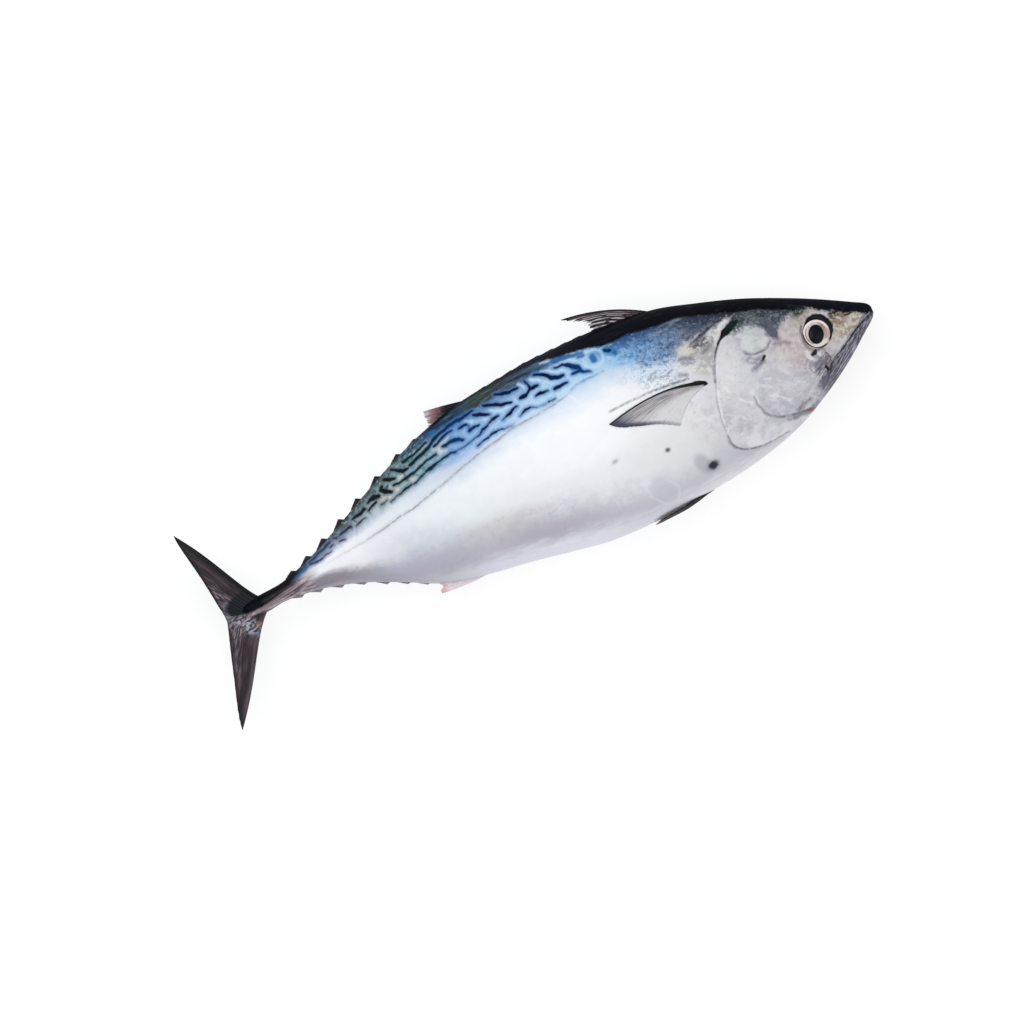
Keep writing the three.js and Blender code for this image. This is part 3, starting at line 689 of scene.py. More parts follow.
PECTORAL = Fan(
    base=[(114.6, 3.8), (117.5, 1.8), (121.5, 0.4)],
    margin=[(181.4, 5.2), (176.0, 0.6), (165.5, -3.6), (153.0, -8.0), (141.2, -14.6)],
    bow=[(-3, 5.2), (1, 1.8)],
)
# On the belly: behind the snout, and degrees round from the belly's middle line
PELVIC = Fan(
    base=[(138.5, 3.0), (139.5, 4.2), (141.0, 5.4)],
    margin=[(181.5, 3.0), (180.5, 9.0), (175.0, 14.5), (160.0, 14.0)],
    bow=[(0, 0.2), (0, 2.0)],
)
PECTORAL_RAYS, PELVIC_RAYS = 18, 6
DORSAL_FINLETS = [
    (296.6, 1.0), (310.6, 2.4), (328.5, 3.0), (345.5, 3.2), (360.9, 3.3), (375.6, 3.2), (389.2, 2.8),
    (401.6, 2.2),
]
VENTRAL_FINLETS = [
    (327.5, 0.9), (338.5, 1.2), (350.5, 1.5), (363.5, 1.5), (377.2, 1.7), (390.4, 1.9), (402.5, 1.6),
]
FINLET_ROOT = 1.6  # how deep a finlet starts in the flesh
FOLDED_SPINES = [(174 + 68 * i / 7, 0.3) for i in range(8)]


def upright(points, offset):
    """In the fish's middle plane."""
    return np.concatenate([points, offset[:, None]], axis=1)


def on_flank(right, tip_lift):
    """On the skin of a flank, with the fin lifted a little more off it at its tip."""

    def lay(points, offset):
        behind, above = points.T
        spots, facing = section(behind, angle_at(behind, above))
        lift = 0.7 + (tip_lift - 0.7) * ease(behind, 130, 170)
        spots = spots + facing * (offset + lift)[:, None]
        spots[:, 2] *= 1 if right else -1
        return spots

    return lay


def under_belly(right):
    """Along the belly, standing off it towards the fin's tip."""

    def lay(points, offset):
        behind, degrees = points.T
        angle = math.pi + (-1 if right else 1) * np.radians(degrees)
        spots, facing = section(behind, angle)
        stand = 3.4 * ease(behind, 134, 162) - 1.6
        return spots + facing * (offset + stand)[:, None]

    return lay


def blade(fan, lay, columns, rows, thickness, rays, ray_relief, ragged=0.0, two_fronts=False, seed=1):
    """A closed two-faced fin: a sheet wrapped round the fan, with its rays as ridges."""
    form, wrap, out = sheet_of(columns * 2, rows)
    side = np.where(wrap < 0.5, 1.0, -1.0)
    across = np.clip(1 - np.abs(2 * wrap - 1), 0, 1)
    pick = np.random.default_rng(seed)
    tears = pick.uniform(0, 1, rays + 2)
    ray_place = across * rays
    torn = np.interp(ray_place, np.arange(rays + 2), tears) * (0.5 + 0.5 * np.cos(2 * math.pi * ray_place))
    length = out * (1 - ragged * torn * ease(across, 0, 0.45) * (1 - two_fronts * ease(across, 0.85, 1)))
    points = fan.at(across, length)
    from_front = np.linalg.norm(points - fan.at(0 * across, length), axis=1)
    nearest = np.minimum(across, 1 - across) if two_fronts else across
    stout = np.minimum(1, 0.35 + nearest * 9) * (1 if two_fronts else 1 - 0.5 * across)
    body = np.maximum(0.22, stout * (1 - 0.85 * out**0.8))
    to_side = np.clip(np.minimum(across, 1 - across) * 18, 0, 1)
    to_tip = np.clip((1 - out) * 12, 0, 1)
    rounded = np.sqrt(np.clip(1 - (1 - to_side) ** 2, 0, 1) * np.clip(1 - (1 - to_tip) ** 2, 0, 1))
    ridge = (0.5 + 0.5 * np.cos(2 * math.pi * ray_place)) ** 2
    offset = side * rounded * (thickness * body / 2 + ray_relief * (ridge - 0.4) * (1 - out) ** 0.3)
    place(form, lay(points, offset))
    note(form, {"across": across, "out": out, "from_front": from_front})
    close_up(form)
    return form


def finlet(peak, height, edge, side, seed):
    """A small sail on the back or the belly, its peak nearer its front."""
    places = (peak - 4.8, peak, peak + 6.8)
    skin = [float(edge(x)) for x in places]
    top, rear, rear_skin = skin[1] + side * height, places[2], skin[2]
    fan = Fan(
        base=[(x, y - side * FINLET_ROOT) for x, y in zip(places, skin)],
        margin=[
            (peak, top), ((peak + rear) / 2, (top + rear_skin) / 2), (rear, rear_skin - side * 0.2),
        ],
        bow=[(0, 0), (0, 0)],
    )
    return blade(
        fan, upright, columns=14, rows=10, thickness=1.3, rays=5, ray_relief=0.12, ragged=0.12, seed=seed
    )


def finlet_row(places, edge, side, seed, taller=1.0):
    """Finlets at (behind, height) places along the back or the belly."""
    return [finlet(at, tall * taller, edge, side, seed + k) for k, (at, tall) in enumerate(places)]


# ------------------------------------------------------------------ paint

PAINTED_LENGTH = 450  # of the colours that run along the fish


def paint(code, part=None):
    """A colour that the eye sees as this hex code, as the numbers that Blender wants. With a
    part of the fish it shifts as far as the user's colour for that part is from its default."""
    values = [int(code[i : i + 2], 16) / 255 for i in (1, 3, 5)]
    values = [c / 12.92 if c < 0.04045 else ((c + 0.055) / 1.055) ** 2.4 for c in values]
    if part:
        colours = bpy.context.scene.tuna_colours
        usual = colours.bl_rna.properties[part].default_array
        values = [c * new / old for c, new, old in zip(values, getattr(colours, part), usual)]
    return tuple(values)


class Wire:
    """A socket of a shader, used like a number."""

    def __init__(self, palette, socket):
        self.palette, self.socket = palette, socket

    def math(self, operation, *values):
        return self.palette.node("ShaderNodeMath", {"operation": operation}, values)

    def __add__(self, other):
        return self.math("ADD", self, other)

    __radd__ = __add__

    def __sub__(self, other):
        return self.math("SUBTRACT", self, other)

    def __rsub__(self, other):
        return self.math("SUBTRACT", other, self)

    def __mul__(self, other):
        return self.math("MULTIPLY", self, other)

    __rmul__ = __mul__

    def __truediv__(self, other):
        return self.math("DIVIDE", self, other)

    def smaller(self, other):
        return self.math("MINIMUM", self, other)

    def larger(self, other):
        return self.math("MAXIMUM", self, other)

    def size(self):
        return self.math("ABSOLUTE", self)

    def root(self):
        return self.math("SQRT", self)

    def wave(self):
        return self.math("SINE", self)

    def sway(self, reach):
        """A cloudy number from 0 to 1 as a shift to either side of 0."""
        return (self - 0.5) * reach

    def step(self, start, end):
        """0 before start, 1 past end, and smooth between them. It falls where end is lower."""
        if end < start:
            return 1 - self.step(end, start)
        return self.palette.node(
            "ShaderNodeMapRange",
            {"interpolation_type": "SMOOTHSTEP"},
            {"Value": self, "From Min": start, "From Max": end},
        )


class Palette:
    """Builds one material's nodes. Its part is the user's colour that shifts its hex codes."""

    def __init__(self, name, part=None):
        self.part = part
        self.material = bpy.data.materials.new(name)
        self.material.use_nodes = True
        self.tree = self.material.node_tree
        self.tree.nodes.clear()
        place = self.node("ShaderNodeTexCoord", output="Object")
        self.spot = self.node(
            "ShaderNodeVectorMath", {"operation": "SCALE"}, {"Vector": place, "Scale": 1 / MM}
        )

    def fish_place(self):
        """Millimetres behind the snout and above the axis."""
        apart = self.node("ShaderNodeSeparateXYZ", inputs={"Vector": self.spot}).socket.node.outputs
        self.behind = SNOUT_X / MM - Wire(self, apart["X"])
        self.above = Wire(self, apart["Y"]) - AXIS_Y / MM

    def node(self, kind, settings=None, inputs=(), output=0):
        """Adds a node: its settings first, then the values or wires of its sockets."""
        made = self.tree.nodes.new(kind)
        for name, value in (settings or {}).items():
            if name == "stops":
                ramp = made.color_ramp
                while len(ramp.elements) < len(value):
                    ramp.elements.new(1.0)
                for element, (at, colour) in zip(ramp.elements, value):
                    element.position = at
                    element.color = (*colour, 1)
            else:
                setattr(made, name, value)
        pairs = inputs.items() if isinstance(inputs, dict) else enumerate(inputs)
        for name, value in pairs:
            socket = made.inputs[name]
            if isinstance(value, Wire):
                self.tree.links.new(value.socket, socket)
            elif isinstance(value, tuple) and len(value) == 3 and socket.type == "RGBA":
                socket.default_value = (*value, 1)
            else:
                socket.default_value = value
        return Wire(self, made.outputs[output])

    def fact(self, name):
        """A number that the mesh keeps on its vertices."""
        return self.node("ShaderNodeAttribute", {"attribute_name": name}, output="Fac")

    def laid(self, size, stretch, turn, shift):
        """Places for a pattern of this size, stretched along a line that is turned this far."""
        return self.node(
            "ShaderNodeMapping",
            {"vector_type": "TEXTURE"},
            {
                "Vector": self.spot,
                "Location": (shift, shift, shift),
                "Rotation": (0, 0, turn),
                "Scale": tuple(size * k for k in stretch),
            },
        )

    def cloudy(self, places, detail, rough, **more):
        inputs = {"Vector": places, "Scale": 1.0, "Detail": detail, "Roughness": rough, **more}
        return self.node("ShaderNodeTexNoise", None, inputs)

    def noise(self, size, detail=3.0, rough=0.55, stretch=(1, 1, 1), turn=0.0, shift=0.0, warp=0.0):
        """Cloudy numbers from 0 to 1, with lumps of about this many millimetres."""
        return self.cloudy(self.laid(size, stretch, turn, shift), detail, rough, Distortion=warp)

    def grain_along(self, x, y):
        """Cloudy numbers from 0 to 1 over two numbers of the piece's own."""
        places = self.node("ShaderNodeCombineXYZ", None, {"X": x, "Y": y})
        return self.cloudy(places, detail=4, rough=0.55)

    def cells(self, size, stretch=(1, 1, 1), output="Distance"):
        scaled = self.laid(size, stretch, 0, 0)
        return self.node("ShaderNodeTexVoronoi", None, {"Vector": scaled, "Scale": 1.0}, output=output)

    def run(self, stops, part=None):
        """A colour that runs through (behind, hex code) stops along the fish."""
        listed = [(at / PAINTED_LENGTH, paint(code, part)) for at, code in stops]
        share = self.behind / PAINTED_LENGTH
        return self.node("ShaderNodeValToRGB", {"stops": listed}, {"Fac": share}, output="Color")

    def mix(self, share, below, above):
        """One colour over another."""
        return self.node(
            "ShaderNodeMix", {"data_type": "RGBA"}, {0: share, 6: below, 7: above}, output=2
        )

    def layers(self, lowest, *upper, part=None):
        """A colour with others over it, each as (its share, itself). A colour is a wire or a
        hex code."""
        part = part or self.part

        def tone(colour):
            return paint(colour, part) if isinstance(colour, str) else colour

        colour = tone(lowest)
        for share, over in upper:
            colour = self.mix(share, colour, tone(over))
        return colour

    def far_round(self, centre, half, turn=0.0):
        """How far out from an oval's centre a spot of the fish's side lies: 1 on the oval."""
        s, t = self.behind - centre[0], self.above - centre[1]
        c, d = math.cos(turn), math.sin(turn)
        across, up = (s * c + t * d) / half[0], (t * c - s * d) / half[1]
        return (across * across + up * up).root()

    def oval(self, centre, half, soft=0.35, turn=0.0):
        """1 inside an oval on the fish's side and 0 outside, with a soft border."""
        return self.far_round(centre, half, turn).step(1 + soft, 1 - soft)

    def surface(self, **sockets):
        """Ends the material with one Principled surface."""
        names = {name.replace("_", " ").title().replace("Ior", "IOR"): v for name, v in sockets.items()}
        shader = self.node("ShaderNodeBsdfPrincipled", None, names)
        end = self.tree.nodes.new("ShaderNodeOutputMaterial")
        self.tree.links.new(shader.socket, end.inputs["Surface"])
        return self.material

    def bump(self, height, strength, depth):
        """A bump whose height of 1 is this deep, in millimetres."""
        inputs = {"Strength": strength, "Distance": depth * MM, "Height": height}
        return self.node("ShaderNodeBump", None, inputs, output="Normal")


class SkinPaint(Palette):
    """The skin's own patterns, and where its main colours lie."""

    def __init__(self):
        super().__init__("tuna_skin")
        self.fish_place()
        behind, above = self.behind, self.above
        self.over_black, self.over_dusky = self.fact("over_black"), self.fact("over_dusky")
        self.over_blue, self.girth = self.fact("over_blue"), self.fact("girth")
        self.gill, self.stroke = self.fact("behind_gill"), self.fact("stroke")
        self.cloud = cloud = self.noise(9, detail=4, shift=40)
        self.fleck = fleck = self.noise(2.4, detail=4, rough=0.65, shift=90)
        self.grain = self.noise(0.9, detail=3, rough=0.6, shift=17)
        self.streak = streak = self.noise(3.0, detail=4, stretch=(5, 1, 1), shift=63)
        self.smudge = smudge = self.noise(4.2, detail=4, rough=0.6, shift=71, warp=0.6)
        self.sheen = self.noise(6, detail=3, stretch=(2.2, 0.8, 1), turn=-0.5, shift=57)
        self.foil = self.cells(7, output="Color")

        self.on_head = self.gill.step(1.2, -0.4)
        self.off_head = 1 - self.on_head
        jaw = above + behind * 0.6 + fleck.sway(3.0) + smudge.sway(2.4)
        self.jaw = jaw.step(4.4, 1.8) * (behind + smudge.sway(12)).step(58, 45)
        crown = self.fact("over_crown") + fleck.sway(9) + smudge.sway(7)
        self.crown = crown.step(-1.5, 2.5) * behind.step(34, 40) * self.on_head
        self.shoulder = behind.step(168, 132)
        band = self.over_blue + cloud.sway(3 + 9 * self.shoulder) + fleck.sway(2 + 6 * self.shoulder)
        self.band = band.step(-2.5, 2.5) * self.off_head
        dusky = self.over_dusky + streak.sway(4) + fleck.sway(3)
        self.dusky = dusky.step(-2.4, 1.4) * behind.step(168, 192)
        black = self.over_black + fleck.sway(behind.step(110, 85) * 2.4 + 2.2) + streak.sway(1.6)
        self.black = black.step(-1.2, 0.9)
        root = (behind + fleck.sway(5)).step(421, 428)
        self.tail_black = root * (above + fleck.sway(2)).step(-6.2, -3.6)


def silver_flank(p):
    """The silver flank, with a grey belt low on it and a pale belly under that."""
    flank = p.run([
        (0, "#c6bcb9"), (50, "#cdc4c4"), (100, "#dcdade"), (120, "#e0dee3"), (140, "#eeedf0"),
        (195, "#f6f8fa"), (300, "#f2f6f9"), (330, "#f1f4f7"), (360, "#fbf9fc"), (385, "#f5f4f9"),
        (400, "#8f858d"), (440, "#8d8288"),
    ], "flank")
    belt_paint = p.run([
        (50, "#bdbac2"), (120, "#d3d1d8"), (160, "#d4d2da"), (190, "#d2ceda"), (220, "#c8c5d0"),
        (250, "#c3bfca"), (280, "#ccc9d5"), (310, "#bebbca"), (340, "#c2c3d2"), (356, "#b4b0bc"),
        (372, "#9d98a2"), (400, "#93878f"), (440, "#867b83"),
    ], "belt")
    belly_paint = p.run([
        (50, "#c5c3cb"), (80, "#dcdae0"), (100, "#ece9f0"), (130, "#faf6fc"), (160, "#f2eff7"),
        (190, "#e9ebf5"), (220, "#f6f5ff"), (280, "#f1effb"), (310, "#dad7e1"), (330, "#c2bfca"),
        (350, "#b1aebb"), (380, "#aeaab4"), (440, "#a39aa2"),
    ], "belly")
    belt = p.fact("over_belt") + p.smudge.sway(0.2) + p.cloud.sway(0.24) + p.streak.sway(0.1)
    belt = belt.step(0.2, -0.2)
    forward = p.behind.step(215, 170) * 0.1
    belly = (p.girth + forward + p.streak.sway(0.16) + p.cloud.sway(0.12)).step(-0.72, -0.93)
    patchy = 0.6 + 0.4 * p.smudge.step(0.3, 0.6)
    cool = p.oval((316, -14), (28, 11), 0.8, turn=0.35)
    warm = p.oval((272, -23), (24, 7), 0.8, turn=0.1)
    rosy = p.smudge.step(0.52, 0.68) * p.girth.step(-0.3, -0.45) * p.girth.step(-0.85, -0.7)
    return p.layers(
        flank,
        (belt, belt_paint),
        (belly, belly_paint),
        (cool * patchy * 0.55, "#cdd2df"),
        (warm * patchy * 0.4, "#cfcac8"),
        (rosy * p.behind.step(200, 240) * 0.35, "#c2adb2"),
        (p.foil.step(0.42, 0.6) * 0.06 * (1 - belt), "#d2d4dc"),
        # painted shadow beside the large dark spot under the pectoral fin
        (p.oval((138.2, -42.6), (4.6, 7), 0.4, turn=-0.3) * 0.75, "#c0bfc6"),
        (p.oval((168, -47), (8, 9), 0.25) * 0.5, "#d3d1d9"),
    )


def blue_wash(p, skin):
    """Light blue on the flank, under the band."""
    wash = (p.over_blue + p.cloud.sway(8) + p.streak.sway(6)).step(-17, 0) * p.behind.step(105, 135)
    wash = wash * p.behind.step(400, 250)
    light_blue = p.run([
        (110, "#c3cbd6"), (150, "#c3d9ef"), (200, "#cfe0f2"), (240, "#c6d8ec"), (280, "#b4c8e4"),
        (330, "#d3dce6"),
    ], "band")
    return p.layers(skin, (wash * 0.8, light_blue))


def pearly_head(p, skin):
    """The head: warm round the eye, olive and beige on the snout, pearly on the gill cover."""
    fleck, smudge = p.fleck, p.smudge
    patches = p.noise(2.6, detail=3, rough=0.5, shift=133, warp=0.8)
    vein = p.noise(7, detail=3, shift=23, warp=0.8) - 0.5
    low_cover = p.layers("#dddbe1", (p.cloud.step(0.35, 0.6), "#f7f5fa"))
    round_eye = p.layers("#bfb0b1", (smudge.step(0.4, 0.6), "#d3c9c6"))
    over_eye = p.layers("#98948c", (fleck.step(0.4, 0.56), "#c4bbb3"))
    beige = p.layers(
        "#9d9080", (patches.step(0.42, 0.56), "#d0c5b6"), (patches.step(0.58, 0.68) * 0.7, "#dcd6cb")
    )
    nose = p.behind.step(14, 6) * (fleck + p.behind * 0.02).step(0.75, 0.5)
    head = p.layers(
        "#c6c4ca",
        ((p.cloud + smudge.sway(0.5)).step(0.38, 0.62), "#dddbdf"),
        (p.foil.step(0.3, 0.65) * 0.5, "#c3c0c9"),
        (p.sheen.step(0.56, 0.66) * 0.5, "#e9e8ea"),
        (p.sheen.step(0.42, 0.34) * 0.4, "#b4b1bd"),
        (p.oval((100, 0), (12, 20), 0.6, turn=0.2) * 0.6, "#e9e8ea"),
        (p.oval((93, -44), (24, 8), 0.6, turn=0.1) * 0.75, low_cover),
        (p.oval((86, -3), (10, 6), 0.7) * 0.5, "#dedde2"),
        part="head",
    )
    head = p.layers(
        head,
        (smudge.step(0.56, 0.7) * p.oval((84, -12), (26, 24), 0.5) * 0.4, "#c9d6e8"),
        (p.oval((50, 2), (20, 17), 0.6) * 0.8, round_eye),
        (p.oval((42, 15.4), (10, 4), 0.6, turn=-0.3) * 0.8, over_eye),
        (p.oval((46, -15), (12, 8), 0.6) * (fleck + smudge).step(0.9, 1.1) * 0.75, "#8d8690"),
        (p.oval((17, 0.5), (16, 10), 0.45, turn=-0.3) * 0.92, beige),
        (p.oval((22.5, 4), (7, 5), 0.6, turn=-0.45) * smudge.step(0.4, 0.58) * 0.8, "#8a6f52"),
        (p.oval((22, 8.2), (9, 3.2), 0.5, turn=-0.45) * patches.step(0.56, 0.46) * 0.85, "#4e4d38"),
        (fleck.step(0.62, 0.7) * p.behind.step(36, 26) * 0.5, "#e4e2cf"),
        (nose * 0.85, "#4b4a4d"),
        (fleck.step(0.6, 0.72) * 0.35, "#8f8c97"),
        (vein.size().step(0.018, 0.0) * 0.22 * p.girth.step(-0.75, -0.55), "#8d8a97"),
    )
    return p.layers(skin, (p.on_head, head))


def streaked_jaw(p, skin):
    """The streaked lower jaw, and the dark folds over the corner of the mouth."""
    streak = p.noise(1.25, detail=4, rough=0.65, stretch=(5, 1, 1), turn=0.55, shift=5, warp=0.5)
    streaks = p.layers("#393743", (streak.step(0.42, 0.52), "#82808d"), (streak.step(0.55, 0.66), "#c6c3cc"))
    folds = p.oval((43, -19), (9, 4.5), 0.5, turn=-0.75) * streak.step(0.56, 0.44)
    return p.layers(skin, (p.jaw * 0.95, streaks), (folds * 0.8, "#4d4955"))


def mottled_crown(p, skin):
    """The dark mottled crown, with a pale round plate behind it and painted shade under the plate."""
    fleck, smudge = p.fleck, p.smudge
    crown = p.layers(
        "#525766",
        (p.over_black.step(-12, -2), "#2a303c"),
        (fleck.step(0.5, 0.62) * 0.7, "#7d838c"),
        (p.grain.step(0.58, 0.68) * p.behind.step(50, 58) * 0.4, "#a9adb2"),
        (fleck.step(0.44, 0.36) * 0.75, "#20242f"),
        (smudge.step(0.46, 0.36) * 0.6, "#272d40"),
    )
    plate = p.oval((75.5, 13.8), (8.2, 7), 0.35) + (fleck.sway(0.35) + smudge.sway(0.3))
    plate = plate.step(0.3, 0.7) * p.on_head
    # painted shade under the raised disc on the cheek
    under = p.oval((82, 2.4), (6.4, 2.2), 0.6, turn=0.5) * fleck.step(0.62, 0.45) * p.on_head
    return p.layers(
        skin,
        (p.crown * 0.95, crown),
        (p.oval((76, 26), (7, 4.5), 0.6) * smudge.step(0.42, 0.56) * 0.5, "#8b978f"),
        (p.oval((41, 19.4), (7.5, 3), 0.5, turn=-0.4) * fleck.step(0.36, 0.5) * 0.95, "#22332b"),
        (p.oval((82.4, 27.4), (6.5, 4.6), 0.6, turn=-0.5) * fleck.step(0.6, 0.44) * 0.9, "#33423d"),
        (plate * 0.75, p.layers("#c0c4c3", (p.cloud.step(0.4, 0.6), "#dcdedb"))),
        (plate * fleck.step(0.6, 0.72) * 0.3, "#9a9ea2"),
        # painted shade under the raised disc
        (under * 0.7, "#77758a"),
    )


def eye_rim(p, skin):
    """The rim of the eye, with the lid paler at its lower rear."""
    rim = p.far_round(EYE, ORBIT)
    fold = (rim - 1.3).size().step(0.05, 0.0) * p.behind.step(38, 44)
    return p.layers(
        skin,
        (rim.step(1.42, 1.12) * p.on_head * 0.6, "#cabdb9"),
        (fold * 0.45, "#8a7675"),
        (rim.step(1.1, 1.03) * p.on_head, "#4c3935"),
    )


def blue_band(p, skin):
    """The blue of the shoulder and of the band under the back."""
    tint = p.run([
        (80, "#444a58"), (105, "#4b5a70"), (116, "#5a6f90"), (127, "#6485ae"), (140, "#5b8bc0"),
        (152, "#6fa5d8"), (163, "#8cc0ec"), (176, "#abd5f5"), (205, "#b9dbf8"), (235, "#b6d8f8"),
        (255, "#a3caf1"), (276, "#82acdb"), (290, "#a9c8d4"), (305, "#9fc1cd"), (320, "#a9bcbd"),
        (335, "#b4bdbe"), (355, "#a2a6b3"), (375, "#8798a8"), (395, "#7286ab"),
    ], "band")
    deep_tint = p.run([
        (80, "#2c313c"), (105, "#303a4a"), (120, "#3b4961"), (135, "#3a5b84"), (150, "#2c5287"),
        (163, "#3f78b4"), (176, "#6ba6dc"), (205, "#7db2e2"), (262, "#5c8cc6"), (290, "#6f9fae"),
        (330, "#7f9496"), (395, "#54698c"),
    ], "band")
    pale = p.run([
        (90, "#8c919c"), (112, "#a3a7ac"), (125, "#93aac6"), (145, "#b1d2f0"), (170, "#bcdbf6"),
        (200, "#cde6fa"), (260, "#a9c9f0"), (285, "#a3bde0"), (310, "#b7cbe0"), (330, "#c6d3df"),
        (380, "#c3c9de"),
    ], "band")
    upper_tint = p.run([
        (185, "#5c9bd2"), (205, "#4f86bb"), (235, "#456fa0"), (262, "#406fa8"), (285, "#4a7396"),
        (320, "#5b7676"), (360, "#616b70"), (395, "#54698c"),
    ], "band")
    flecks = p.run([
        (90, "#7b8089"), (118, "#9da3aa"), (140, "#8fbbe6"), (200, "#e2f4fd"), (290, "#e0e8e0"),
        (380, "#cfd3dc"),
    ], "band")
    fleck, smudge = p.fleck, p.smudge
    mixed_in = (p.over_blue + smudge.sway(8)).step(0, 8) * (0.5 + 0.5 * smudge.step(0.38, 0.6))
    near_black = (p.over_black + smudge.sway(6)).step(-11, -1) * p.behind.step(185, 160)
    upper = (p.over_dusky + smudge.sway(5)).step(-8, -1) * p.behind.step(185, 205)
    dappled = smudge.step(0.55, 0.7) * p.behind.step(165, 185) * (1 - upper)
    blue = p.layers(
        pale,
        (mixed_in, tint),
        (near_black, deep_tint),
        (upper * 0.7, upper_tint),
        (dappled * 0.3, deep_tint),
        (fleck.step(0.5, 0.64) * (p.shoulder * 0.75 + 0.12), deep_tint),
        (fleck.step(0.42, 0.3) * (p.shoulder * 0.5 + 0.3), flecks),
    )
    slate = p.oval((107, 36), (12, 4.5), 0.6, turn=-0.35) * p.band * smudge.step(0.62, 0.4)
    top = p.oval((121, 45.6), (12, 2.2), 0.6, turn=-0.12) * p.band * p.streak.step(0.44, 0.58)
    return p.layers(skin, (p.band, blue), (slate * 0.75, "#3d4860"), (top * 0.6, "#98a2b3"))


def scuffed_shoulder(p, skin):
    """Dark flecks and scratches over the shoulder's blue and the flank under it."""
    scuffed = p.oval((134, 25), (26, 18), 0.5, turn=0.35) * p.off_head
    scratch = (p.noise(5.5, detail=4, rough=0.65, shift=11, warp=1.1) - 0.5).size().step(0.03, 0.006)
    crackle = (p.noise(3.2, detail=3, rough=0.6, shift=47, warp=0.9) - 0.5).size().step(0.03, 0.0)
    return p.layers(
        skin,
        (scratch * scuffed * p.cloud.step(0.4, 0.55) * 0.6, "#37486a"),
        ((p.grain + p.fleck.sway(0.6)).step(0.6, 0.72) * scuffed * 0.45, "#5a7ba8"),
        (crackle * scuffed * 0.35, "#e6f0f8"),
    )


def bare_breast(p, skin):
    """The pale skin behind the gill cover, olive and beige at its top and mottled under that,
    with the black knob at the pectoral fin's root."""
    fleck, off_head = p.fleck, p.off_head
    scar = p.oval((110, 19), (11.5, 12), 0.35, turn=-0.15) * off_head
    scar_paint = p.layers("#b7b4b4", ((p.cloud + fleck.sway(0.5)).step(0.4, 0.6), "#dfdedb"))
    sandy = p.oval((117, 26.8), (6.5, 3), 0.5, turn=0.3) * off_head
    olive = p.oval((106, 27.5), (9, 3.6), 0.6, turn=-0.25) * off_head
    breast = p.oval((124, -8), (11, 22), 0.6, turn=0.1) * off_head
    knob = p.oval((118.7, 4.0), (5.2, 1.9), 0.4, turn=0.44) + fleck.sway(0.4)
    return p.layers(
        skin,
        (scar * (p.over_blue + p.smudge.sway(6)).step(3, -2), scar_paint),
        (sandy * fleck.step(0.34, 0.46) * 0.85, "#dcd4c8"),
        (olive * fleck.step(0.52, 0.4) * 0.9, "#5a564c"),
        (p.oval((104, 31.4), (9.5, 1.1), 0.6, turn=-0.28) * off_head * 0.85, "#26282a"),
        (breast * (p.smudge + p.foil.sway(0.4)).step(0.44, 0.6) * 0.5, "#cbc5c8"),
        (breast * p.sheen.step(0.54, 0.64) * 0.5, "#f3f0f2"),
        (knob.step(0.3, 0.8) * off_head, "#0f1015"),
    )


def dusky_green(p, skin):
    """Dusky green and slate between the band and the black of the back."""
    slate = p.run([
        (170, "#2f649f"), (186, "#3c78b4"), (200, "#3c668c"), (212, "#3d526a"), (228, "#3f4a5a"),
        (242, "#3d4446"), (252, "#3b4a45"), (262, "#2c465e"), (276, "#233f66"), (288, "#244675"),
        (300, "#2d4a70"), (308, "#3c6270"), (320, "#4d6a6d"), (335, "#454c4e"), (350, "#34383c"),
        (365, "#383c44"), (385, "#434f66"), (400, "#34343e"),
    ], "band")
    dusky = p.layers(
        slate,
        (p.streak.step(0.52, 0.64) * 0.4, "#6a93a6"),
        (p.streak.step(0.48, 0.38) * 0.7, "#1b252c"),
        (p.fleck.step(0.6, 0.7) * 0.4, "#86a898"),
    )
    return p.layers(skin, (p.dusky, dusky))


def strokes(p, skin):
    """The band's strokes: light ones, deeper blue round them, then the dark ones, over mottles
    of teal and cream at the rear."""
    light = p.run([
        (160, "#b8dcf6"), (185, "#d6ecfa"), (230, "#d2e8f9"), (262, "#c3dcf6"), (280, "#e2e4dd"),
        (330, "#dcd9d0"),
    ], "band")
    halo = p.run([
        (160, "#3f86c6"), (200, "#4d8aca"), (245, "#4f7fbd"), (275, "#4376b4"), (295, "#527a88"),
        (330, "#5d7274"), (370, "#7480a0"),
    ], "band")
    dark = p.run([
        (160, "#122c4e"), (176, "#154684"), (190, "#0e2a58"), (205, "#0b1a3e"), (236, "#0b1c44"),
        (252, "#171d3e"), (270, "#0f3472"), (284, "#152d40"), (305, "#122529"), (330, "#191f20"),
        (350, "#23262f"), (365, "#3a3e54"), (388, "#274a74"),
    ], "strokes")
    mottled = (p.over_blue + p.fleck.sway(3)).step(3, 8) * p.behind.step(282, 305)
    mottled = mottled * p.behind.step(400, 375)
    soft = p.grain.sway(1.1) + p.fleck.sway(0.9)
    return p.layers(
        skin,
        ((p.smudge + p.grain.sway(0.5)).step(0.52, 0.6) * mottled * 0.85, "#2f444b"),
        (p.smudge.step(0.48, 0.4) * mottled * 0.35, "#8fb0bd"),
        ((p.fleck + p.smudge.sway(0.4)).step(0.42, 0.33) * mottled * 0.75, "#d3d7cd"),
        ((p.fact("pale_stroke") + soft).step(1.0, -0.7) * 0.8, light),
        ((p.fact("deep_blue") + soft).step(1.2, -0.8) * 0.92, "#2766a8"),
        ((p.stroke + soft).step(2.4, 0.1) * 0.6, halo),
        ((p.stroke + soft).step(0.55, -0.45), dark),
    )


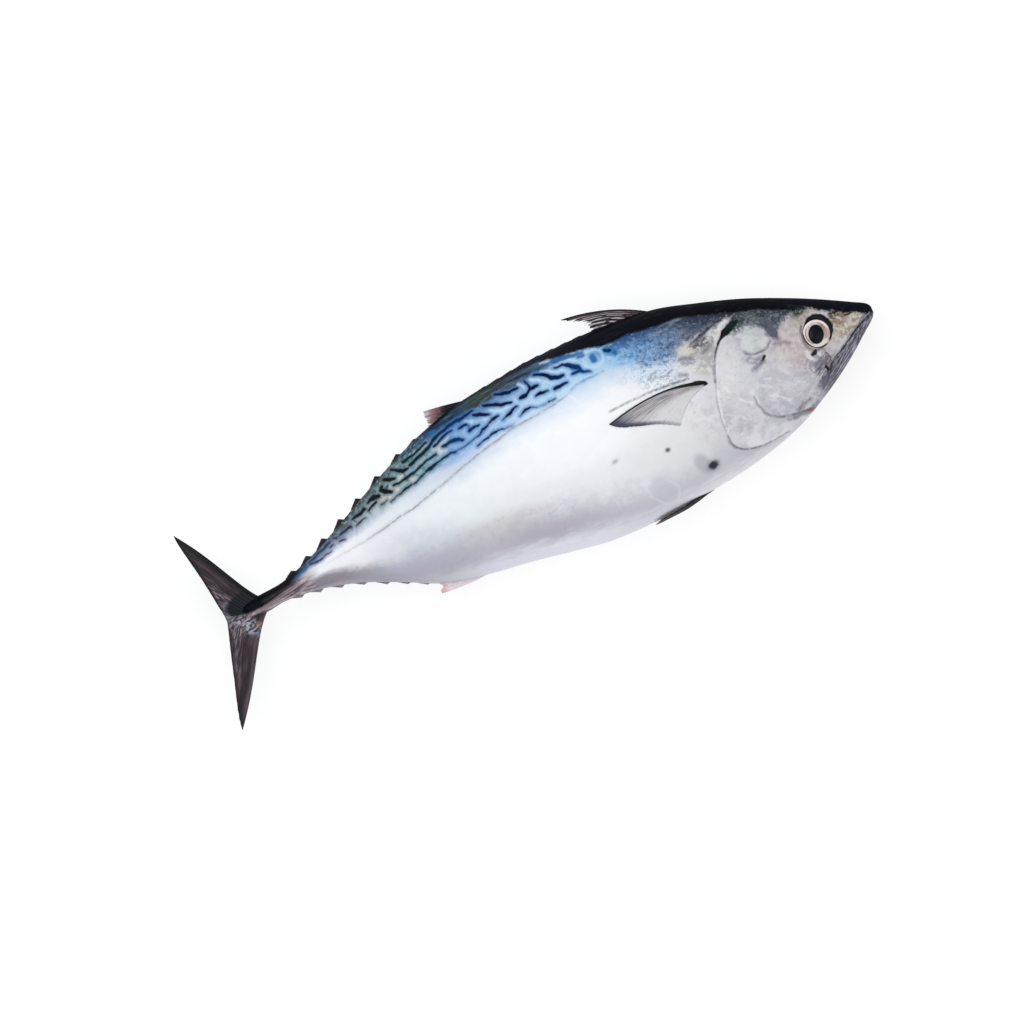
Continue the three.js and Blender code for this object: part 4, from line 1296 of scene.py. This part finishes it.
def thin_lines(p, skin):
    """The lateral line, the hair-thin lines of the head and shoulder with painted shade in creases, painted
    highlights, and the dark spots.
    """
    behind, fleck, grain = p.behind, p.fleck, p.grain
    lateral = p.fact("lateral") + grain.sway(0.8) + fleck.sway(0.6)
    shown = behind.step(190, 204) * behind.step(385, 320) * p.smudge.step(0.25, 0.5)
    smear = p.fact("smear") + (fleck.sway(4) + grain.sway(1.5))
    fine_paint = p.run([
        (30, "#5a4a48"), (52, "#6a5857"), (62, "#5d5862"), (85, "#7c7681"), (104, "#6d5f68"),
        (118, "#6a5961"), (124, "#434a5e"), (150, "#4b5566"), (168, "#5d7ba5"), (185, "#5f84b4"),
    ])
    fine_paint = p.layers(fine_paint, (behind.step(146, 152) * p.above.step(24, 18), "#8d8f8b"))
    # the groove over the pectoral fin is finer than the mesh, so its shade is painted here as a dark line
    groove = (p.above + (behind - 162) * (behind - 162) * 0.0021 - 12.7).size() - 0.35
    groove = groove + behind.step(124, 120) * 5 + behind.step(176, 186) * 5
    fine = p.fact("fine_line").smaller(groove) + grain.sway(0.7) + fleck.sway(0.7)
    # painted highlights on the rims and ridges of the head and the gill cover
    highlight = p.fact("bright_line") + grain.sway(0.9) + fleck.sway(1.8)
    # patches where the fine lines, with their painted shade, and the painted highlights show more strongly
    worn_and_patchy = (p.smudge + fleck.sway(0.8)).step(0.34, 0.56)
    spots = []
    for centre, half, strength in SOFT_SPOTS:
        spot = p.far_round(centre, half, turn=-0.17) + fleck.sway(0.5)
        spots.append((spot.step(2.2, 0.8) * strength * 0.4, "#817e8b"))
        spots.append((spot.step(1.35, 0.55) * strength, "#211e2c"))
    return p.layers(
        skin,
        (lateral.step(2.8, 0.6) * shown * 0.2, "#8f8b96"),
        (lateral.step(0.85, 0.15) * shown * 0.66, "#77747c"),
        (smear.step(1.9, -1.1) * 0.68, "#5f5d70"),
        # fine dark lines, partly painted shade in creases, along the gill cover's edge and under the cheek
        # disc
        (fine.step(1.1, -0.3) * (0.3 + 0.5 * worn_and_patchy), fine_paint),
        # painted highlights, stronger in patches
        (highlight.step(1.2, -0.4) * (0.12 + 0.58 * worn_and_patchy), "#f0eff2"),
        (p.fact("faint_line").step(1.0, -0.2) * 0.35, "#f4f4f7"),
        *spots,
    )


def black_back(p, skin):
    """The black back, the inky marks of the head, and painted shade in the cleft of the closed mouth."""
    black = p.run([
        (0, "#15161d"), (70, "#080910"), (130, "#0d0f18"), (180, "#0f121b"), (205, "#1c202d"),
        (240, "#1d2028"), (262, "#20262f"), (275, "#10131c"), (300, "#1d2029"), (330, "#121417"),
        (360, "#131519"), (390, "#25242d"), (404, "#26252b"), (414, "#141a20"), (430, "#0c1016"),
    ], "back")
    black = p.layers(black, (p.streak.step(0.55, 0.75) * 0.4, "#363644"))
    ink = p.fact("ink") + p.fleck.sway(1.0)
    gill_green = p.oval((82.6, 28.6), (5, 3.4), 0.7) * ink.step(1.4, -0.2)
    # painted shade in the cleft of the closed mouth
    mouth_cleft_shade = p.fact("mouth") + p.grain.sway(0.5) + p.fleck.sway(0.8)
    return p.layers(
        skin,
        (p.black, black),
        # inky marks, with painted shade in the eye socket and partly under the gill cover's upper edge
        (ink.step(0.6, -0.55), "#0a0c0e"),
        (gill_green * 0.8, "#0d2a24"),
        # painted shade in the mouth's cleft
        (mouth_cleft_shade.step(0.7, -0.3) * 0.75, "#2b272d"),
        (p.oval((59.5, -41.6), (5.6, 1.2), 0.5, turn=0.25) * 0.75, "#9a2f3d"),
    )


def tail_root(p, skin):
    """The root of the tail: brown and pink streaks, and black where the fin starts."""
    root = (p.behind + p.streak.sway(10)).step(386, 402) * (1 - p.black)
    streak = p.noise(1.5, detail=4, rough=0.6, stretch=(9, 1, 1), turn=0.1, shift=31)
    streaks = p.layers("#5d4c54", (streak.step(0.4, 0.54), "#a8979f"), (streak.step(0.56, 0.68), "#d6cad1"))
    shadow = (p.above + streak.sway(5) + p.behind.step(404, 424) * 3.4).step(-2.4, 0.2)
    return p.layers(
        skin,
        (root * p.above.step(2.5, 0.0) * 0.95, streaks),
        (shadow * p.behind.step(396, 406), "#1b171c"),
        (p.tail_black, "#0c1118"),
    )


SKIN_LAYERS = (
    blue_wash, pearly_head, streaked_jaw, mottled_crown, eye_rim, blue_band, scuffed_shoulder,
    bare_breast, dusky_green, strokes, thin_lines, black_back, tail_root,
)


def skin_material():
    p = SkinPaint()
    skin = silver_flank(p)
    for lay_over in SKIN_LAYERS:
        skin = lay_over(p, skin)
    dark = p.black.larger(p.stroke.step(0.3, -0.2)).larger(p.tail_black).larger(p.crown * 0.8)
    dark = dark.larger(p.dusky * 0.9).larger(p.jaw * 0.6).larger(p.band * 0.35)
    scales = p.cells(1.7, stretch=(0.8, 1, 1)) * 0.35 * p.gill.step(0, 4)
    return p.surface(
        base_color=skin,
        roughness=0.4 + p.cloud.sway(0.16) - dark * 0.06 + p.grain.sway(0.1),
        metallic=(1 - dark) * 0.08,
        coat_weight=0.42 - dark * 0.37 + p.cloud.sway(0.2) * (1 - dark),
        coat_roughness=0.2,
        specular_ior_level=0.0,
        normal=p.bump(scales + p.fleck * 0.5 + p.streak * 0.6, 0.5, 0.12),
    )


def eye_material():
    """Black pupil in a cream iris, with a white band near its brown rim."""
    p = Palette("tuna_eye")
    p.fish_place()
    pupil = p.far_round((39.2, 0.7), (4.7, 5.9), math.radians(19))
    rim = p.far_round((38.8, 1.1), (8.6, 8.7))
    front = p.behind.step(36.5, 33.5) * rim.step(0.86, 0.74)
    rear = p.behind.step(42.5, 44.0) * (rim - 0.81).size().step(0.08, 0.03)
    lower = p.above.step(-3.5, -5.5) * (rim - 0.8).size().step(0.16, 0.1)
    open_front = p.oval((31, -5.6), (4.6, 4), 0.4)
    iris = p.layers("#cbb6ad", (p.noise(1.8, detail=3).step(0.35, 0.65), "#e6d8d2"), part="iris")
    iris = p.layers(
        iris,
        (front * 0.8, "#856f62"),
        (rear * p.above.step(-7, -4) * 0.85, "#8c7672"),
        ((rim - 0.91).size().step(0.1, 0.05) * 0.95, "#f3eeea"),
        (p.oval((32.2, -2.6), (3.0, 4.2), 0.4) * 0.85, "#c2a69d"),
        (lower * 0.8, "#ebe1dc"),
        (rim.step(0.97, 1.02) * (1 - open_front), "#4a3733"),
        # painted shade where the upper front edge of the socket overhangs the eyeball
        (rim.step(0.98, 1.03) * (p.above - p.behind * 0.9).step(-38, -34), "#0a0a0c"),
        (pupil.step(1.1, 1.0), "#2b211f"),
    )
    return p.surface(
        base_color=p.layers(iris, (pupil.step(1.02, 0.95), "#0c151a"), part="pupil"),
        roughness=0.3,
        coat_weight=0.1,
        coat_roughness=0.12,
        specular_ior_level=0.05,
    )


class FinPaint(Palette):
    """A fin's own numbers: shares across it and out along its rays, lines on the rays and
    hair-thin grain along them."""

    def __init__(self, name, rays, part="dark_fins"):
        super().__init__(name, part)
        self.across, self.out = self.fact("across"), self.fact("out")
        self.cloud = self.noise(6, detail=4)
        self.fleck = self.noise(1.4, detail=4, rough=0.65, shift=30)
        turns = (self.across * rays + self.cloud.sway(0.5)) * (2 * math.pi)
        self.lines = turns.wave() * 0.5 + 0.5
        self.hairs = self.grain_along(self.across * rays * 2.2, self.out * 5)

    def finish(self, *colours, rough=0.5, coat=0.1):
        relief = self.lines * 0.8 + self.hairs * 0.6 + self.fleck * 0.3
        return self.surface(
            base_color=self.layers(*colours),
            roughness=rough + self.fleck.sway(0.2),
            coat_weight=coat + self.cloud.sway(0.06),
            coat_roughness=0.2,
            specular_ior_level=0.08,
            normal=self.bump(relief, 0.6, 0.16),
        )


def tail_material():
    """Worn brown rays, with scuffed skin where those of the lower lobe start."""
    rays = bpy.context.scene.tuna_shape.tail_rays
    f = FinPaint("tuna_tail", rays)
    f.fish_place()
    bands = f.grain_along(f.across * rays * 0.5 + 40, f.out * 2.2)
    worn_and_patchy = f.out.step(0.15, 0.35) * f.out.step(1.0, 0.85)
    worn_and_patchy = worn_and_patchy * (f.across.step(0.16, 0.3) * f.across.step(0.86, 0.72))
    edge = (f.across + f.fleck.sway(0.05)).step(0.16, 0.05) * f.above.step(-10, 0)
    low_edge = f.across.step(0.9, 0.97) * f.out.step(1.0, 0.6)
    scuff = f.oval((441, -10.5), (10.5, 4.8), 0.5, turn=0.95)
    scuff = scuff.larger(f.oval((449.5, -2.5), (4.5, 6), 0.5) * 0.6)
    scrape = f.noise(1.3, detail=4, rough=0.65, stretch=(4, 1, 1), turn=0.15, shift=37, warp=0.4)
    scuff = scuff * (f.fleck + scrape.sway(1.6)).step(0.4, 0.56)
    fork = f.oval((436, 2.2), (14, 7), 0.5, turn=-0.1) + f.fleck.sway(0.5)
    return f.finish(
        "#2a2327",
        (bands.step(0.4, 0.62), "#4a3e44"),
        (f.above.step(-8, -20) * bands.step(0.42, 0.6) * 0.8, paint("#5b4e55")),
        (worn_and_patchy * f.hairs.step(0.47, 0.62) * 0.85, "#8f8188"),
        (worn_and_patchy * (f.fleck + (f.hairs - 0.5)).step(0.62, 0.74) * 0.6, "#9b8f95"),
        (f.hairs.step(0.44, 0.3) * 0.6, "#171416"),
        (f.oval((446, 1), (6, 7), 0.6) * f.hairs.step(0.4, 0.56) * 0.8, "#676170"),
        (f.oval((450, -25), (5, 7), 0.6) * 0.7, "#2b2126"),
        (edge, "#151416"),
        (low_edge * f.hairs.step(0.4, 0.6) * 0.7, "#6d636b"),
        ((f.out + f.fleck.sway(0.1)).step(0.82, 0.96) * 0.75, "#131215"),
        (scuff * 0.92, f.layers("#5f5a68", (scrape.step(0.42, 0.6), "#b9b7c6"))),
        (f.oval((434.5, -13.4), (2.2, 1.2), 0.6) * 0.5, "#a07a5c"),
        (fork.step(0.25, 0.7) * f.above.step(-5.5, -2.5), "#0c1319"),
    )


def dark_fin_material():
    """Brown rays with slits of light skin between them towards the rear."""
    f = FinPaint("tuna_dark_fin", 7)
    slits = f.lines.step(0.5, 0.8) * f.across.step(0.12, 0.26) * f.out.step(0.1, 0.35)
    return f.finish(
        "#1d161a",
        (f.hairs.step(0.4, 0.6), "#43343a"),
        (slits * f.hairs.step(0.36, 0.5) * 0.9, "#cfc6ca"),
        ((f.across + f.fleck.sway(0.05)).step(0.13, 0.05), "#120f12"),
        ((f.out + f.cloud.sway(0.2)).step(0.3, 0.06), "#100e12"),
    )


def black_fin_material():
    f = FinPaint("tuna_black_fin", 6)
    return f.finish(
        "#101013",
        (f.hairs.step(0.4, 0.66), "#2d2a2f"),
        (f.out.step(0.75, 1.0) * f.fleck.step(0.5, 0.66) * 0.6, "#4a4248"),
    )


def pelvic_material():
    f = FinPaint("tuna_pelvic_fin", PELVIC_RAYS)
    return f.finish(
        "#121013",
        (f.hairs.step(0.45, 0.7), "#3a3036"),
        ((f.out + f.fleck.sway(0.06)).step(0.93, 0.99) * f.across.step(0.6, 0.3), "#a8818a"),
    )


def mauve_fin_material():
    """Rosy, with a frayed pale fringe and black at its base."""
    f = FinPaint("tuna_mauve_fin", 6)
    return f.finish(
        "#3a2a2f",
        (f.hairs.step(0.38, 0.6), "#6c5259"),
        ((f.out + f.fleck.sway(0.3)).step(0.55, 0.85) * 0.7, "#a8848b"),
        ((f.out + f.hairs.sway(0.5)).step(0.84, 1.02) * 0.8, "#e6d5d8"),
        ((f.out + (f.across - 0.4) * 0.3 + f.fleck.sway(0.2)).step(0.62, 0.42), "#131115"),
    )


def pink_fin_material():
    f = FinPaint("tuna_pink_fin", 7, "pale_fins")
    return f.finish(
        "#e2d2d8",
        (f.hairs.step(0.38, 0.6), "#f9f1f4"),
        ((f.out + f.fleck.sway(0.3)).step(0.74, 1.0) * 0.7, "#dca4aa"),
        (f.out.step(0.45, 0.05), "#d8d5dd"),
    )


def grey_fin_material():
    f = FinPaint("tuna_grey_fin", 6, "pale_fins")
    return f.finish("#75707d", (f.hairs.step(0.38, 0.6), "#a5a0ac"))


def pectoral_material():
    """Pale towards the body, with a slate tip and margin and a black front edge."""
    f = FinPaint("tuna_pectoral", PECTORAL_RAYS, "pectoral_fins")
    brown = f.cloud.step(0.45, 0.6) * f.across.step(0.15, 0.3) * f.out.step(0.85, 0.4)
    inner = (f.across + f.cloud.sway(0.25)).step(0.36, 0.7)
    tip = (f.out + f.across * -0.35 + f.fleck.sway(0.1)).step(0.7, 0.95)
    margin = (f.out + f.fleck.sway(0.04)).step(0.9, 0.975)
    front = (f.fact("from_front") + f.out.step(0.05, 0.5) * 1.4 + f.fleck.sway(0.6)).step(2.9, 2.1)
    return f.finish(
        "#85838a",
        (f.hairs.step(0.36, 0.6), "#c6c2c5"),
        (f.lines.step(0.6, 0.95) * f.across.step(0.5, 0.2) * 0.45, "#55565e"),
        (brown * 0.55, "#8f8279"),
        (inner * 0.9, "#e2e0e3"),
        (inner * f.hairs.step(0.56, 0.7) * 0.5, "#a5a4ac"),
        (tip * 0.85, "#464b58"),
        (margin * (f.across.step(0.95, 0.5) * 0.5 + 0.38), "#2c3546"),
        (front, "#0f1015"),
        rough=0.45,
        coat=0.25,
    )


FLOOR_GLOW = 0.78  # the floor is a light box, which leaves little shadow
FLOOR_SHADES = (0.35, 0.32)  # how much of the light from above it throws back


def floor_material():
    p = Palette("pale_floor")
    plain = tuple(bpy.context.scene.tuna_colours.floor)
    return p.surface(
        base_color=p.mix(
            p.noise(60, detail=2), *(tuple(c * shade for c in plain) for shade in FLOOR_SHADES)
        ),
        roughness=0.7,
        specular_ior_level=0.1,
        emission_color=plain,
        emission_strength=FLOOR_GLOW,
    )


# ------------------------------------------------------------------ what a user may change


def colour_of(name, description, code):
    return FloatVectorProperty(
        name=name, description=description, subtype="COLOR", size=3, min=0, max=1, default=paint(code)
    )


def length_of(name, description, usual, low, high, precision=4):
    """A length that the user may change, given here in millimetres."""
    return FloatProperty(
        name=name, description=description, default=usual * MM, min=low * MM, max=high * MM,
        unit="LENGTH", precision=precision,
    )


class TUNA_PG_shape(PropertyGroup):
    gill_cover_step: length_of(
        "Gill cover step", "How far the free edge of a gill cover stands off the flank", 1.3, 0, 3
    )
    eye_bulge: length_of("Eye bulge", "How far an eyeball stands out of the cheek", 2.0, 0.5, 4)
    pectoral_lift: length_of(
        "Pectoral fin lift", "How far the tip of a pectoral fin stands off the flank", 1.0, 0.7, 3
    )
    finlet_height: FloatProperty(
        name="Finlet height", description="The height of the finlets, as a share of the usual one",
        default=1, min=0.4, max=1.2, subtype="FACTOR",
    )
    ray_relief: length_of(
        "Ray relief", "How high the rays stand on the tail fin", 0.14, 0, 0.5, precision=5
    )
    tail_rays: IntProperty(
        name="Tail rays", description="How many rays the tail fin has", default=26, min=8, max=40
    )


class TUNA_PG_colours(PropertyGroup):
    back: colour_of("Back", "The black of the back", "#0f121b")
    band: colour_of("Band", "The blue of the shoulder and of the band under the back", "#b9dbf8")
    strokes: colour_of("Strokes", "The dark strokes that cross the band", "#0b1c44")
    flank: colour_of("Flank", "The silver of the flank", "#f2f6f9")
    belt: colour_of("Belt", "The grey belt low on the flank", "#c8c5d0")
    belly: colour_of("Belly", "The pale belly", "#f1effb")
    head: colour_of("Head", "The pearly cheeks and gill covers", "#dddbdf")
    iris: colour_of("Iris", "The cream iris of the eyes", "#e6d8d2")
    pupil: colour_of("Pupil", "The black pupil of the eyes", "#0c151a")
    dark_fins: colour_of("Dark fins", "The tail, dorsal and pelvic fins", "#2a2327")
    pectoral_fins: colour_of("Pectoral fins", "The fins on the flanks", "#c6c2c5")
    pale_fins: colour_of("Pale fins", "The anal fin and the finlets behind it", "#e2d2d8")
    floor: colour_of("Floor", "The pale floor under the fish", "#fbfbfb")


# ------------------------------------------------------------------ the pieces

# Columns round the fish and rows along it
TRUNK_GRID = (200, 430)
HEAD_GRID = (380, 230)
TRUNK_START = 48  # behind the snout, under the head


class TUNA_OT_trunk(Operator):
    """Make the body behind the head, with the keels on the root of the tail"""

    bl_idname = "tuna.trunk"
    bl_label = "Trunk"

    def execute(self, context):
        form = trunk_form(*TRUNK_GRID, TRUNK_START)
        finish_piece("trunk", [form], "tuna_skin")
        return {"FINISHED"}


class TUNA_OT_head(Operator):
    """Make the head with its mouth, orbits and gill covers"""

    bl_idname = "tuna.head"
    bl_label = "Head"

    def execute(self, context):
        step = context.scene.tuna_shape.gill_cover_step / MM
        form = head_form(*HEAD_GRID, step)
        finish_piece("head", [form], "tuna_skin")
        return {"FINISHED"}


class TUNA_OT_eyes(Operator):
    """Make the two eyeballs"""

    bl_idname = "tuna.eyes"
    bl_label = "Eyes"

    def execute(self, context):
        angle = np.array([float(angle_at(*EYE))])
        cheek = section(np.array([EYE[0]]), angle)[0][0, 2]
        bulge = context.scene.tuna_shape.eye_bulge / MM
        c, d = math.cos(EYE_TURN), math.sin(EYE_TURN)
        for name, side in (("right", 1), ("left", -1)):
            form = bmesh.new()
            bmesh.ops.create_uvsphere(form, u_segments=96, v_segments=64, radius=1)
            ahead, up, out = (np.array([vertex.co[:] for vertex in form.verts]) * EYEBALL).T
            behind = EYE[0] - (ahead * c + out * d)
            aside = side * (out * c - ahead * d + cheek + bulge - EYEBALL[2])
            place(form, np.stack([behind, EYE[1] + up, aside], axis=-1))
            bmesh.ops.recalc_face_normals(form, faces=form.faces)
            finish_piece(f"eyeball_{name}", [form], "tuna_eye", (f"eye_{name}",))
        return {"FINISHED"}


class TUNA_OT_tail_fin(Operator):
    """Make the forked tail fin"""

    bl_idname = "tuna.tail_fin"
    bl_label = "Tail fin"

    def execute(self, context):
        shape = context.scene.tuna_shape
        form = blade(
            TAIL, upright, columns=260, rows=110, thickness=4.6, rays=shape.tail_rays,
            ray_relief=shape.ray_relief / MM, ragged=0.012, two_fronts=True,
        )
        finish_piece("tail_fin", [form], "tuna_tail")
        return {"FINISHED"}


class TUNA_OT_upright_fins(Operator):
    """Make the two dorsal fins, the folded spines between them and the anal fin"""

    bl_idname = "tuna.upright_fins"
    bl_label = "Fins of the back and belly"

    def execute(self, context):
        first = blade(
            FIRST_DORSAL, upright, columns=130, rows=60, thickness=2.0, rays=9, ray_relief=0.22,
            ragged=0.16, seed=4,
        )
        finish_piece("first_dorsal_fin", [first], "tuna_dark_fin")
        finish_piece("folded_spines", finlet_row(FOLDED_SPINES, BACK, 1, 0), "tuna_black_fin")
        second = blade(
            SECOND_DORSAL, upright, columns=110, rows=40, thickness=2.0, rays=12, ray_relief=0.1,
            ragged=0.2, seed=5,
        )
        finish_piece("second_dorsal_fin", [second], "tuna_mauve_fin")
        anal = blade(
            ANAL, upright, columns=70, rows=40, thickness=2.0, rays=8, ray_relief=0.1,
            ragged=0.08, seed=6,
        )
        finish_piece("anal_fin", [anal], "tuna_pink_fin")
        return {"FINISHED"}


class TUNA_OT_finlets(Operator):
    """Make the rows of finlets behind the second dorsal fin and the anal fin"""

    bl_idname = "tuna.finlets"
    bl_label = "Finlets"

    def execute(self, context):
        taller = context.scene.tuna_shape.finlet_height
        above = finlet_row(DORSAL_FINLETS, BACK, 1, 20, taller)
        finish_piece("dorsal_finlets", above, "tuna_black_fin")
        below = finlet_row(VENTRAL_FINLETS, BELLY, -1, 40, taller)
        finish_piece("ventral_finlets", below, "tuna_grey_fin")
        return {"FINISHED"}


class TUNA_OT_paired_fins(Operator):
    """Make the pectoral fins on the flanks and the pelvic fins under the belly"""

    bl_idname = "tuna.paired_fins"
    bl_label = "Paired fins"

    def execute(self, context):
        tip_lift = context.scene.tuna_shape.pectoral_lift / MM
        for name, right in (("right", True), ("left", False)):
            lay = on_flank(right, tip_lift)
            pectoral = blade(
                PECTORAL, lay, columns=150, rows=90, thickness=1.3, rays=PECTORAL_RAYS,
                ray_relief=0.1, ragged=0.01, seed=7,
            )
            finish_piece(f"pectoral_fin_{name}", [pectoral], "tuna_pectoral")
            pelvic = blade(
                PELVIC, under_belly(right), columns=60, rows=50, thickness=3.2, rays=PELVIC_RAYS,
                ray_relief=0.2, ragged=0.04, seed=8,
            )
            finish_piece(f"pelvic_fin_{name}", [pelvic], "tuna_pelvic_fin")
        return {"FINISHED"}


PHOTO_SIDE = 1024  # pixels
SNOUT_PIXEL = (872, 309)
FORK_PIXEL = (227, 615)
FORK_LENGTH = 450  # the real size of what lies between them
CAMERA_HEIGHT = 9  # over the fish's middle plane: far off, so that nothing leans
SENSOR_WIDTH = 36

FLOOR_REACH = 3  # from the middle to each side
FLOOR_GAP = 0.0002  # under the fish, so that the two never share a plane
ROOM_LIGHT = ((0.93, 0.96, 1.0, 1), 0.42)  # colour and strength
# Name, place, size and power
LAMPS = (
    ("overhead_softbox", (-0.15, 0.35, 1.5), 1.5, 12.5),
    ("side_softbox", (0.9, -0.5, 1.1), 1.0, 2.5),
)


class TUNA_OT_stage(Operator):
    """Set the floor, the soft lights and the camera over the fish"""

    bl_idname = "tuna.stage"
    bl_label = "Stage"

    def execute(self, context):
        scene = context.scene
        self.add_floor(scene)
        self.add_lights(scene)
        self.add_camera(scene)
        scene.view_settings.view_transform = "Standard"
        return {"FINISHED"}

    def add_floor(self, scene):
        form = bmesh.new()
        bmesh.ops.create_grid(form, x_segments=2, y_segments=2, size=FLOOR_REACH)
        bmesh.ops.translate(form, verts=form.verts, vec=(0, 0, FISH_LOW.z - FLOOR_GAP))
        mesh = bpy.data.meshes.new("floor")
        form.to_mesh(mesh)
        form.free()
        mesh.materials.append(material_named("pale_floor"))
        floor = bpy.data.objects.new("floor", mesh)
        scene.collection.objects.link(floor)

    def add_lights(self, scene):
        world_light = bpy.data.worlds.new("soft_room")
        world_light.use_nodes = True
        backdrop = world_light.node_tree.nodes["Background"]
        backdrop.inputs["Color"].default_value, backdrop.inputs["Strength"].default_value = ROOM_LIGHT
        scene.world = world_light
        for name, place_at, size, power in LAMPS:
            data = bpy.data.lights.new(name, "AREA")
            data.shape = "DISK"
            data.size = size
            data.energy = power
            lamp = bpy.data.objects.new(name, data)
            lamp.location = place_at
            direction = -lamp.location
            lamp.rotation_euler = direction.to_track_quat("-Z", "Y").to_euler()
            scene.collection.objects.link(lamp)

    def add_camera(self, scene):
        """Straight over the fish, turned so that it lies in the picture as in the photograph."""
        snout, fork = np.array(SNOUT_PIXEL, float), np.array(FORK_PIXEL, float)
        axis = fork - snout
        mm_a_pixel = FORK_LENGTH / np.hypot(*axis)
        axis /= np.hypot(*axis)
        up = np.array([axis[1], -axis[0]])
        up *= -np.sign(up[1])
        middle = (np.array([PHOTO_SIDE, PHOTO_SIDE]) / 2 - snout) * mm_a_pixel
        data = bpy.data.cameras.new("camera")
        camera = bpy.data.objects.new("camera", data)
        camera.location = (
            SNOUT_X - middle @ axis * MM, AXIS_Y + middle @ up * MM, MIDDLE_Z + CAMERA_HEIGHT,
        )
        camera.rotation_euler = (0, 0, math.atan2(up[0], -axis[0]))
        data.sensor_width = SENSOR_WIDTH
        data.lens = data.sensor_width * CAMERA_HEIGHT / (PHOTO_SIDE * mm_a_pixel * MM)
        data.clip_end = 3 * CAMERA_HEIGHT
        scene.collection.objects.link(camera)
        scene.camera = camera


MATERIALS = {
    "tuna_skin": skin_material,
    "tuna_eye": eye_material,
    "tuna_tail": tail_material,
    "tuna_dark_fin": dark_fin_material,
    "tuna_black_fin": black_fin_material,
    "tuna_mauve_fin": mauve_fin_material,
    "tuna_pink_fin": pink_fin_material,
    "tuna_grey_fin": grey_fin_material,
    "tuna_pelvic_fin": pelvic_material,
    "tuna_pectoral": pectoral_material,
    "pale_floor": floor_material,
}


def material_named(name):
    """The material of that name, made when it is first asked for."""
    return bpy.data.materials.get(name) or MATERIALS[name]()


class TUNA_PT_panel(Panel):
    """Lists the pieces of the fish and what can be changed"""

    bl_label = "Whole small tuna"
    bl_space_type = "VIEW_3D"
    bl_region_type = "UI"
    bl_category = "Tuna"

    def draw(self, context):
        for group in (context.scene.tuna_shape, context.scene.tuna_colours):
            for name in group.__annotations__:
                self.layout.prop(group, name)
        for operator in OPERATORS:
            self.layout.operator(operator.bl_idname)


OPERATORS = (
    TUNA_OT_trunk,
    TUNA_OT_head,
    TUNA_OT_eyes,
    TUNA_OT_tail_fin,
    TUNA_OT_upright_fins,
    TUNA_OT_finlets,
    TUNA_OT_paired_fins,
    TUNA_OT_stage,
)
CLASSES = (TUNA_PG_shape, TUNA_PG_colours, *OPERATORS, TUNA_PT_panel)


def register():
    for cls in CLASSES:
        bpy.utils.register_class(cls)
    bpy.types.Scene.tuna_shape = PointerProperty(type=TUNA_PG_shape)
    bpy.types.Scene.tuna_colours = PointerProperty(type=TUNA_PG_colours)


def unregister():
    del bpy.types.Scene.tuna_colours
    del bpy.types.Scene.tuna_shape
    for cls in reversed(CLASSES):
        bpy.utils.unregister_class(cls)


def main():
    register()
    for operator in OPERATORS:
        group, name = operator.bl_idname.split(".")
        getattr(getattr(bpy.ops, group), name)()


if __name__ == "__main__":
    main()
